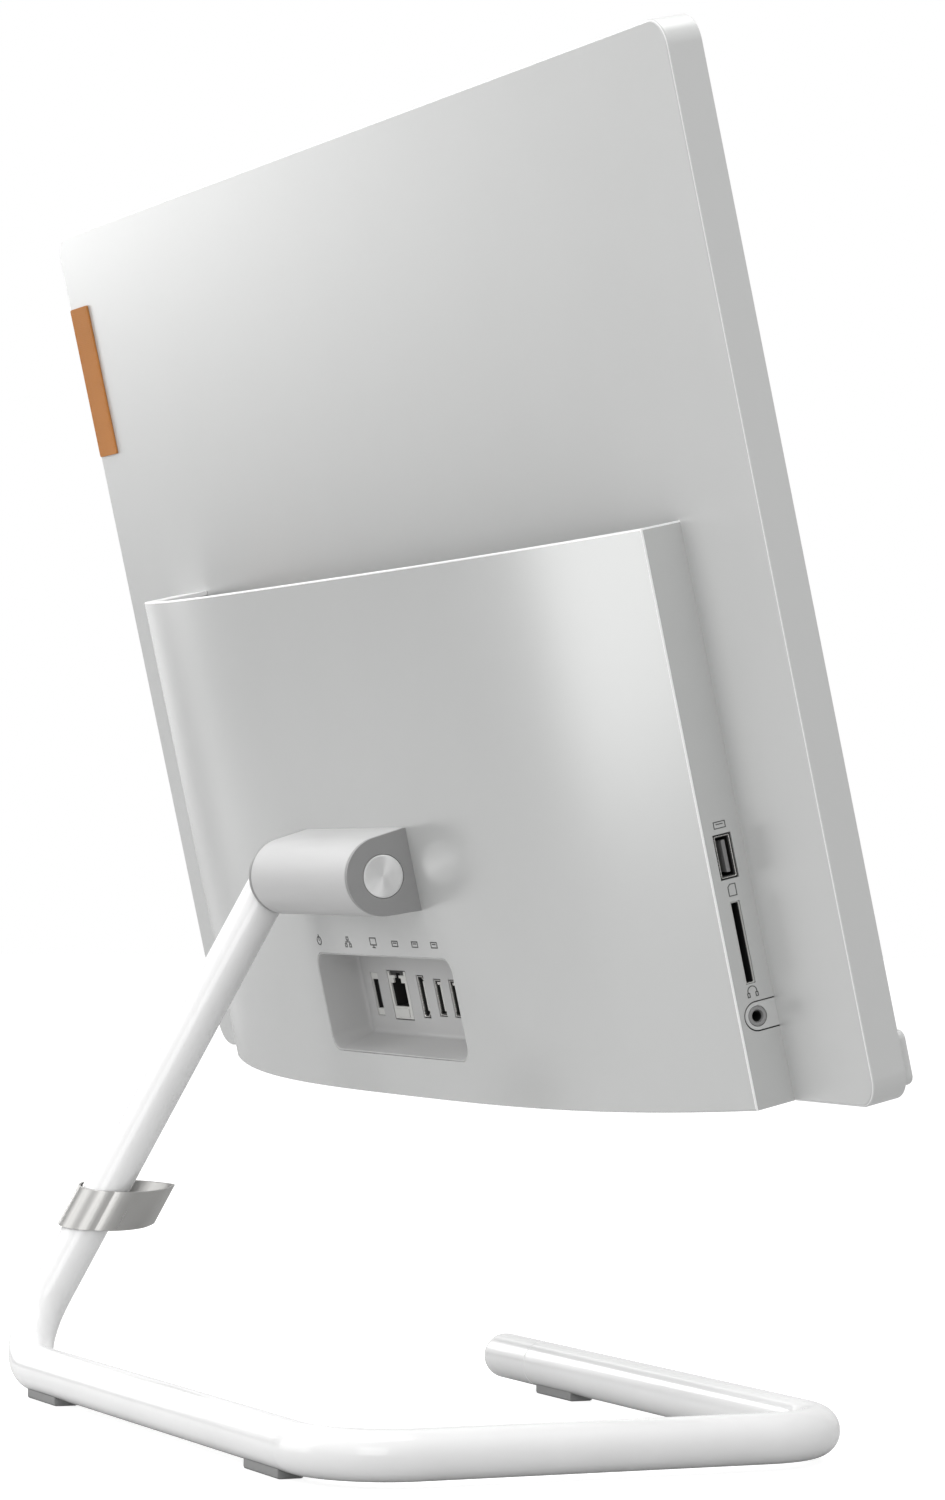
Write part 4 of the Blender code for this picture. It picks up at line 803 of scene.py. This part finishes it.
def add_pictograms():
    """Small generic marks over the sockets. None of them is lettering."""
    rear = [(53, "power"), (26, "network"), (3, "screen"), (-16, "port"), (-33, "port"), (-49, "port")]
    for index, (x, kind) in enumerate(rear):
        mark = strokes(PICTOGRAMS[kind], 0.5, 0.12,
                       lambda u, v, w, x=x: (x - u, bulge(x - u) + w - 0.06, MARK_HEIGHT + v * 0.8))
        make(f"rear_mark_{index + 1}", mark, PRINT_GREY)
    for kind, z in (("port", 91.5), ("card", 70.5), ("headset", 37.5)):
        mark = strokes(PICTOGRAMS[kind], 0.34, 0.10,
                       lambda u, v, w, z=z: (-HALF - w + 0.05, MARK_DEPTH - u * 0.85, z + v * 0.85))
        make(f"side_mark_{kind}", mark, PRINT_GREY)


# --- hinge

def block_outline(inset, steps=48):
    """Hinge cover's section as (y, z): flats from the housing that run into a round."""
    back = MIDDLE - 0.15
    radius, half = BLOCK_RADIUS - inset, BLOCK_FLAT - inset
    depth = AXIS_Y - MIDDLE - 0.5
    swing = math.acos(radius / math.hypot(depth, half)) - math.atan2(depth, half)
    reach = (AXIS_Y - back - depth) * math.tan(swing)
    points = [(back, AXIS_Z - half - reach)]
    for step in range(steps + 1):
        angle = (math.pi - 2 * swing) * (step / steps - 0.5)
        points.append((AXIS_Y + radius * math.cos(angle), AXIS_Z + radius * math.sin(angle)))
    return points + [(back, AXIS_Z + half + reach)]


def add_hinge():
    low, high = span("hinge_cover")
    rings = [(0.25, low.x), (0.07, low.x + 0.07), (0, low.x + 0.25), (0, high.x - 0.25),
             (0.07, high.x - 0.07), (0.25, high.x), (2.0, high.x), (2.0, low.x)]
    make("hinge_block", stack("x", block_outline, rings, closed=True), BLOCK_SILVER,
         node="hinge_cover", crease=25)
    cap_low, cap_high = span("hinge_end_cap")
    axis = (AXIS_Y, AXIS_Z)
    holes = {"left": (cap_high.y - cap_low.y) / 2 + 0.12, "right": 4.3}
    for side, radius in holes.items():
        node = f"hinge_end_plate_{side}"
        low, high = span(node)
        hole = disc("x", axis, [(radius, low.x - 3), (radius, high.x + 3)], 64)
        make(f"hinge_plate_{side}", stack("x", block_outline, rims(low.x, high.x, 0.18)), PLATE_GREY,
             cutters=[hole], node=node, crease=25)
    # turned cap: its own z axis is the tilt axis, so that the brushing runs round it
    turned = AT_HINGE @ Matrix.Rotation(math.radians(-90), 4, "Y")
    face = BLOCK_HALF
    rim = (cap_high.y - cap_low.y) / 2
    profile = [(rim, face - 4), (rim, face - 0.25), (rim - 0.1, face - 0.08), (rim - 0.35, face)]
    for groove in range(10):
        radius = rim - 0.9 - groove * 0.62
        profile += [(radius, face - 0.05 - 0.02 * groove), (radius - 0.3, face - 0.03 - 0.02 * groove)]
    profile += [(0.5, face - 0.24), (0.1, face - 0.26)]
    cap = disc("z", (0, 0), profile, 96)
    make("hinge_turned_cap", cap, SPUN, place=turned, node="hinge_end_cap", crease=40)


# --- tag

def add_tag():
    low, high = span("rear_tag")
    make("blank_tag", pad("y", (low.x, 0.02, low.z), high, 0.9, 0.25), TAG_TAN, node="rear_tag")
    stitches = []
    for x in (low.x + 1.6, high.x - 1.6):
        for index in range(16):
            z = low.z + 3 + index * (high.z - low.z - 6) / 15
            stitches.append(pad("z", (x - 0.2, high.y - 0.15, z - 0.9), (x + 0.2, high.y + 0.12, z + 0.9),
                                0.12, 0.1, 3))
    make("tag_stitches", merge(stitches), TAG_TAN)


# --- stand

def fillet(before, corner, after, radius, steps=20):
    """Arc that rounds one corner of the centre line."""
    back, ahead = (before - corner).normalized(), (after - corner).normalized()
    half = back.angle(ahead) / 2
    centre = corner + (back + ahead).normalized() * radius / math.sin(half)
    first = corner + back * radius / math.tan(half) - centre
    last = corner + ahead * radius / math.tan(half) - centre
    swing = first.angle(last)
    return [centre + (first * math.sin((1 - step / steps) * swing) + last * math.sin(step / steps * swing))
            / math.sin(swing) for step in range(steps + 1)]


def sweep(path, radii, steps=48):
    """Circles square to the path, in step with it. radii holds one radius per point."""
    rings = []
    tangent = (path[1] - path[0]).normalized()
    side = tangent.cross(Vector((1, 0, 0))).normalized()
    for index, (point, radius) in enumerate(zip(path, radii)):
        before, after = path[max(index - 1, 0)], path[min(index + 1, len(path) - 1)]
        turned = ((point - before).normalized() + (after - point).normalized()).normalized()
        side = (tangent.rotation_difference(turned) @ side).normalized()
        tangent = turned
        up = tangent.cross(side).normalized()
        rings.append([point + (side * math.cos(a) + up * math.sin(a)) * radius
                      for a in (2 * math.pi * step / steps for step in range(steps))])
    return rings


def leg_point(height):
    """Point of the leg's axis at a height above the floor."""
    return Vector((LEG_X, PIVOT.y, PIVOT.z)) - LEG_UP * (PIVOT.z - height) / LEG_UP.z


def plug_neck(depth):
    """Start of a plug's profile: its neck in the tube and the rim that meets the tube's end."""
    return [(PLUG_NECK, -depth), (PLUG_NECK, 0.25), (TUBE - 0.2, 0.25), (TUBE, 0.5)]


def add_stand():
    down = -LEG_UP
    low, _ = span("stand_tube", WORLD)
    top = Vector((LEG_X, PIVOT.y, PIVOT.z)) - down * 5.5
    reach = (PIVOT.z - BAR_HEIGHT) / -down.z
    rear = Vector((LEG_X, PIVOT.y, PIVOT.z)) + down * reach
    side = low.x + TUBE
    front = low.y + TUBE
    corners = [top, rear, Vector((side, rear.y, BAR_HEIGHT)), Vector((side, front, BAR_HEIGHT)),
               Vector((SEAM_X, front, BAR_HEIGHT))]
    path = [top, top + down * 0.25]
    for before, corner, after in zip(corners, corners[1:], corners[2:]):
        path += fillet(before, corner, after, BEND)
    path += [corners[-1] - Vector((0.25, 0, 0)), corners[-1]]
    radii = [TUBE - 0.2] + [TUBE] * (len(path) - 2) + [TUBE - 0.2]
    outer = sweep(path, radii)
    inner = sweep(path, [TUBE - TUBE_WALL] * len(path))
    tube = loft(outer + list(reversed(inner)), closed=True)
    make("bent_tube", tube, TUBE_PAINT, body="stand", place=WORLD, node="stand_tube", crease=50)

    _, cap_high = span("tube_end_cap", WORLD)
    nose = 7.0
    start = cap_high.x - SEAM_X - nose
    profile = plug_neck(12) + [(TUBE, start)]
    for step in range(1, 13):
        angle = math.radians(90 * step / 12)
        profile.append((max(TUBE * math.cos(angle) ** 0.8, 0.15), start + nose * math.sin(angle)))
    tip = disc("x", (front, BAR_HEIGHT), [(radius, SEAM_X + along) for radius, along in profile])
    make("tube_tip", tip, PLUG_WHITE, body="stand", place=WORLD, node="tube_end_cap")

    leg = Matrix.Translation(top * MM) @ LEG_UP.to_track_quat("Z", "X").to_matrix().to_4x4()
    profile = plug_neck(1) + [(TUBE, 1.4), (7.75, 2.1), (7.1, 2.7), (6.0, 3.1), (4.0, 3.35), (0.2, 3.4)]
    make("leg_top_cap", disc("z", (0, 0), profile), PLUG_WHITE, body="stand", place=leg,
         node="leg_top_plug")

    low, high = span("shaft_nut", WORLD)
    radius = (high.y - low.y) / 2
    profile = [(radius, low.x), (radius, high.x - 0.9), (radius - 0.25, high.x - 0.3),
               (radius - 0.8, high.x), (2.0, high.x), (1.8, high.x - 0.5), (0.1, high.x - 0.5)]
    make("shaft_dome_nut", disc("x", middle(low, high, "yz"), profile), KEY_METAL, body="stand", place=WORLD,
         node="shaft_nut")

    for index in range(1, 5):
        low, high = span(f"rubber_foot_{index}", WORLD)
        centre = (low.y + high.y) / 2
        half = (high.y - low.y) / 2

        def section(inset):
            points = [(-half + 0.9 + inset, inset), (half - 0.9 - inset, inset),
                      (half - 0.25 - inset, 0.25 + inset), (half - inset, 0.9)]
            for step in range(17):
                across = (half - inset) * (1 - step / 8)
                points.append((across, BAR_HEIGHT - math.sqrt((TUBE + 0.1) ** 2 - across ** 2)))
            points += [(-half + inset, 0.9), (-half + 0.25 + inset, 0.25 + inset)]
            return [(centre + y, z) for y, z in points]
        profile = [(0.6, low.x), (0.18, low.x + 0.18), (0, low.x + 0.6), (0, high.x - 0.6),
                   (0.18, high.x - 0.18), (0.6, high.x)]
        make(f"foot_pad_{index}", stack("x", section, profile), RUBBER, body="stand", place=WORLD,
             node=f"rubber_foot_{index}", crease=40)


def add_clip():
    """Sprung steel band round the leg, whose loop in front holds the cables."""
    wide, slope = TUBE + CLIP_GAP, math.atan2(-LEG_UP.y, LEG_UP.z)
    deep = TUBE / math.cos(slope) + CLIP_GAP
    points = [Vector((5.4, -10.4)), Vector((6.0, -9.6))]
    for degrees in range(-40, 181, 6):
        angle = math.radians(degrees)
        points.append(Vector((wide * math.cos(angle), deep * math.sin(angle))))
    tail = [(-10, -2.6), (-10.4, -7), (-9.6, -12.5), (-6.8, -19), (-1, -25), (1.2, -25.2), (3.6, -22),
            (7, -16), (9, -12.4)]
    points += smooth([points[-1]] + [Vector(pair) for pair in tail])[1:]

    def section(inset):
        left, right = [], []
        for index, point in enumerate(points):
            before, after = points[max(index - 1, 0)], points[min(index + 1, len(points) - 1)]
            along = (after - before).normalized()
            across = Vector((-along.y, along.x)) * (CLIP_HALF - inset)
            shift = along * (inset if index == 0 else -inset if index == len(points) - 1 else 0)
            left.append(point + shift + across)
            right.append(point + shift - across)
        return left + list(reversed(right))

    low, high = CLIP_REST
    anchor = leg_point(low)
    place = Matrix.Translation(anchor * MM) @ LEG_UP.to_track_quat("Z", "X").to_matrix().to_4x4()
    to_local = place.inverted()
    rings = []
    for inset, height in rims(low, high, 0.16):
        axis = leg_point(height)
        ring = []
        for point in section(inset):
            spot = Vector((axis.x + point.x, axis.y + point.y, height + CLIP_SLANT * point.x)) * MM
            ring.append(to_local @ spot / MM)
        rings.append(ring)
    make("clip_band", loft(rings), BRUSHED, body="cable_clip_body", place=place,
         node="cable_clip", crease=30)


def smooth(points, steps=5):
    """Catmull-Rom curve through the points."""
    made = []
    for index in range(len(points) - 1):
        p1, p2 = points[index], points[index + 1]
        p0 = points[index - 1] if index else p1 * 2 - p2
        p3 = points[index + 2] if index + 2 < len(points) else p2 * 2 - p1
        for step in range(steps):
            t = step / steps
            made.append((p1 * 2 + (p2 - p0) * t + (p0 * 2 - p1 * 5 + p2 * 4 - p3) * t * t
                         + (p1 * 3 - p0 - p2 * 3 + p3) * t ** 3) / 2)
    return made + [points[-1]]


# --- CAD nodes that stay

KEPT = {
    "backlight_tray": SATIN_ALUMINIUM, "chin_panel": CHIN_WHITE, "chassis_plate": STEEL,
    "speaker_left": SOCKET_BLACK, "speaker_right": SOCKET_BLACK, "webcam_board": BOARD,
    "main_board": BOARD, "socket_board": BOARD, "memory_module": BOARD, "processor": SATIN_ALUMINIUM,
    "wireless_card": SATIN_ALUMINIUM, "coin_cell": SATIN_ALUMINIUM, "solid_state_drive": CHIP_BLACK,
    "hard_drive": SATIN_ALUMINIUM, "heat_pipe": COPPER, "heatsink_fins": COPPER,
    "blower_case": FAN_BLACK, "blower_rotor": FAN_BLACK, "friction_sleeve": STEEL,
    "hinge_bracket": STEEL, "hinge_shaft": STEEL, **{f"hinge_screw_{n}": STEEL for n in range(1, 5)},
}


def repaint():
    for name, look in KEPT.items():
        for slot in nodes[name].material_slots:
            slot.material = look


# --- floor, light, camera

CAMERA_AT = Vector((-1.4635, 0.6160, 0.1806))
CAMERA_FORWARD = Vector((0.9062, -0.4216, 0.0307))
CAMERA_UP = Vector((-0.0227, 0.0239, 0.9995))
LENS = 107.2


def softbox(name, spot, target, size, radiance):
    """Area light of a given radiance that looks at a target. The camera doesn't see it."""
    data = bpy.data.lights.new(name, "AREA")
    data.shape = "RECTANGLE"
    data.size, data.size_y = size
    data.energy = radiance * math.pi * size[0] * size[1]
    made = bpy.data.objects.new(name, data)
    made.location = spot
    made.rotation_euler = (Vector(target) - Vector(spot)).to_track_quat("-Z", "Y").to_euler()
    made.visible_camera = False
    bpy.context.scene.collection.objects.link(made)


def bearing(degrees, distance, height):
    """Spot at a bearing from +X towards +Y."""
    angle = math.radians(degrees)
    return (distance * math.cos(angle), distance * math.sin(angle), height)


HORIZON, ZENITH = 0.62, 1.0
DARK_BEARING, DARKEST = 34, 0.25    # a dimmer stretch of the studio's wall
BACKDROP_BEARING, BACKDROP = -28, 0.2
FLOOR_REACH = 9.0
FLOOR_FADE = (0.15, 0.42)   # the floor's colour changes between these distances, paler near the object: a painted pool of light
FLOOR_NEAR, FLOOR_FAR = 0.56, 0.42
FLOOR_GLOW = 0.80           # keeps the floor white in the picture
CENTRE = (0, 0, 0.22)
SOFTBOXES = (
    # name, spot, target, size, radiance
    ("overhead", (0.0, 0.2, 1.9), CENTRE, (1.6, 1.2), 3.0),
    ("far_strip_low", bearing(-8.0, 1.5, 0.45), CENTRE, (0.22, 1.3), 0.55),
    ("far_strip_high", bearing(6.8, 1.5, 0.45), CENTRE, (0.12, 1.3), 0.95),
    ("far_raised", bearing(15, 1.6, 0.95), CENTRE, (0.34, 1.2), 3.6),
    ("far_low", bearing(14, 2.4, 0.42), CENTRE, (0.9, 0.42), 1.2),
    ("rear_side", (0.12, 0.66, 0.25), (-0.2, 0.0, 0.22), (0.55, 0.9), 1.4),
    ("camera_side", bearing(150, 1.7, 0.7), CENTRE, (0.8, 1.0), 2.0),
)


def add_floor():
    shape = bmesh.new()
    corners = ((-1, -1), (1, -1), (1, 1), (-1, 1))
    shape.faces.new([shape.verts.new((x * FLOOR_REACH, y * FLOOR_REACH, 0)) for x, y in corners])
    mesh = bpy.data.meshes.new("floor")
    shape.to_mesh(mesh)
    shape.free()
    floor = bpy.data.objects.new("floor", mesh)
    bpy.context.scene.collection.objects.link(floor)
    look = bpy.data.materials.new("floor_white")
    look.use_nodes = True
    tree = look.node_tree
    shader = tree.nodes["Principled BSDF"]
    spot = tree.nodes.new("ShaderNodeTexCoord").outputs["Object"]
    # Paler floor round the object: a painted pool of light that strengthens the light bounced onto the stand.
    length = wire(tree, "ShaderNodeVectorMath", {0: spot}, operation="LENGTH").outputs["Value"]
    tree.links.new(ranged(tree, length, FLOOR_FADE, FLOOR_NEAR, FLOOR_FAR), shader.inputs["Base Color"])
    shader.inputs["Roughness"].default_value = 1.0
    shader.inputs["Specular IOR Level"].default_value = 0.0
    shader.inputs["Emission Color"].default_value = (1, 1, 1, 1)
    seen = tree.nodes.new("ShaderNodeLightPath").outputs["Is Camera Ray"]
    glow = wire(tree, "ShaderNodeMath", {0: seen, 1: FLOOR_GLOW}, operation="MULTIPLY")
    tree.links.new(glow.outputs["Value"], shader.inputs["Emission Strength"])
    mesh.materials.append(look)


def add_world():
    """Soft studio: paler overhead, dimmer on one side. The camera itself sees plain white."""
    world = bpy.data.worlds.new("studio")
    bpy.context.scene.world = world
    world.use_nodes = True
    tree = world.node_tree
    tree.nodes.clear()
    place = tree.nodes.new("ShaderNodeTexCoord").outputs["Generated"]

    def lobe(degrees, height, start, low, high):
        """Value that runs from low to high as the view turns to a bearing."""
        target = Vector(bearing(degrees, 1, height)).normalized()
        towards = wire(tree, "ShaderNodeVectorMath", {0: place, 1: target}, operation="DOT_PRODUCT")
        return ranged(tree, towards.outputs["Value"], (start, 0.97), low, high, "SMOOTHSTEP")

    parts = wire(tree, "ShaderNodeSeparateXYZ", {"Vector": place})
    ramp = wire(tree, "ShaderNodeValToRGB", {"Fac": parts.outputs["Z"]})
    for element, level in zip(ramp.color_ramp.elements, (HORIZON, ZENITH)):
        element.color = (level, level, level, 1)
    strength = wire(tree, "ShaderNodeMath", {0: lobe(DARK_BEARING, -0.12, 0.70, 1.0, DARKEST),
                                             1: lobe(BACKDROP_BEARING, 0.2, 0.80, 0.0, BACKDROP)},
                    operation="ADD")
    light = wire(tree, "ShaderNodeBackground", {"Color": ramp.outputs["Color"],
                                                "Strength": strength.outputs["Value"]})
    white = wire(tree, "ShaderNodeBackground", {"Color": (1, 1, 1, 1), "Strength": 1.0})
    seen = tree.nodes.new("ShaderNodeLightPath").outputs["Is Camera Ray"]
    mix = wire(tree, "ShaderNodeMixShader", {"Fac": seen, 1: light.outputs["Background"],
                                             2: white.outputs["Background"]})
    wire(tree, "ShaderNodeOutputWorld", {"Surface": mix.outputs["Shader"]})


def add_lights():
    for softbox_values in SOFTBOXES:
        softbox(*softbox_values)


def add_camera():
    data = bpy.data.cameras.new("camera")
    data.lens = LENS
    data.clip_start, data.clip_end = 0.05, 60
    camera = bpy.data.objects.new("camera", data)
    bpy.context.scene.collection.objects.link(camera)
    forward = CAMERA_FORWARD.normalized()
    right = forward.cross(CAMERA_UP).normalized()
    up = right.cross(forward)
    turn = Matrix((right, up, -forward)).transposed()
    camera.matrix_world = Matrix.Translation(CAMERA_AT) @ turn.to_4x4()
    bpy.context.scene.camera = camera
    bpy.context.scene.view_settings.view_transform = "Standard"


add_slab()
add_chin()
add_power_key()
add_housing()
add_vent()
add_tray()
add_rear_ports()
add_side_ports()
add_pictograms()
add_hinge()
add_tag()
add_stand()
add_clip()
repaint()
add_floor()
add_world()
add_lights()
add_camera()
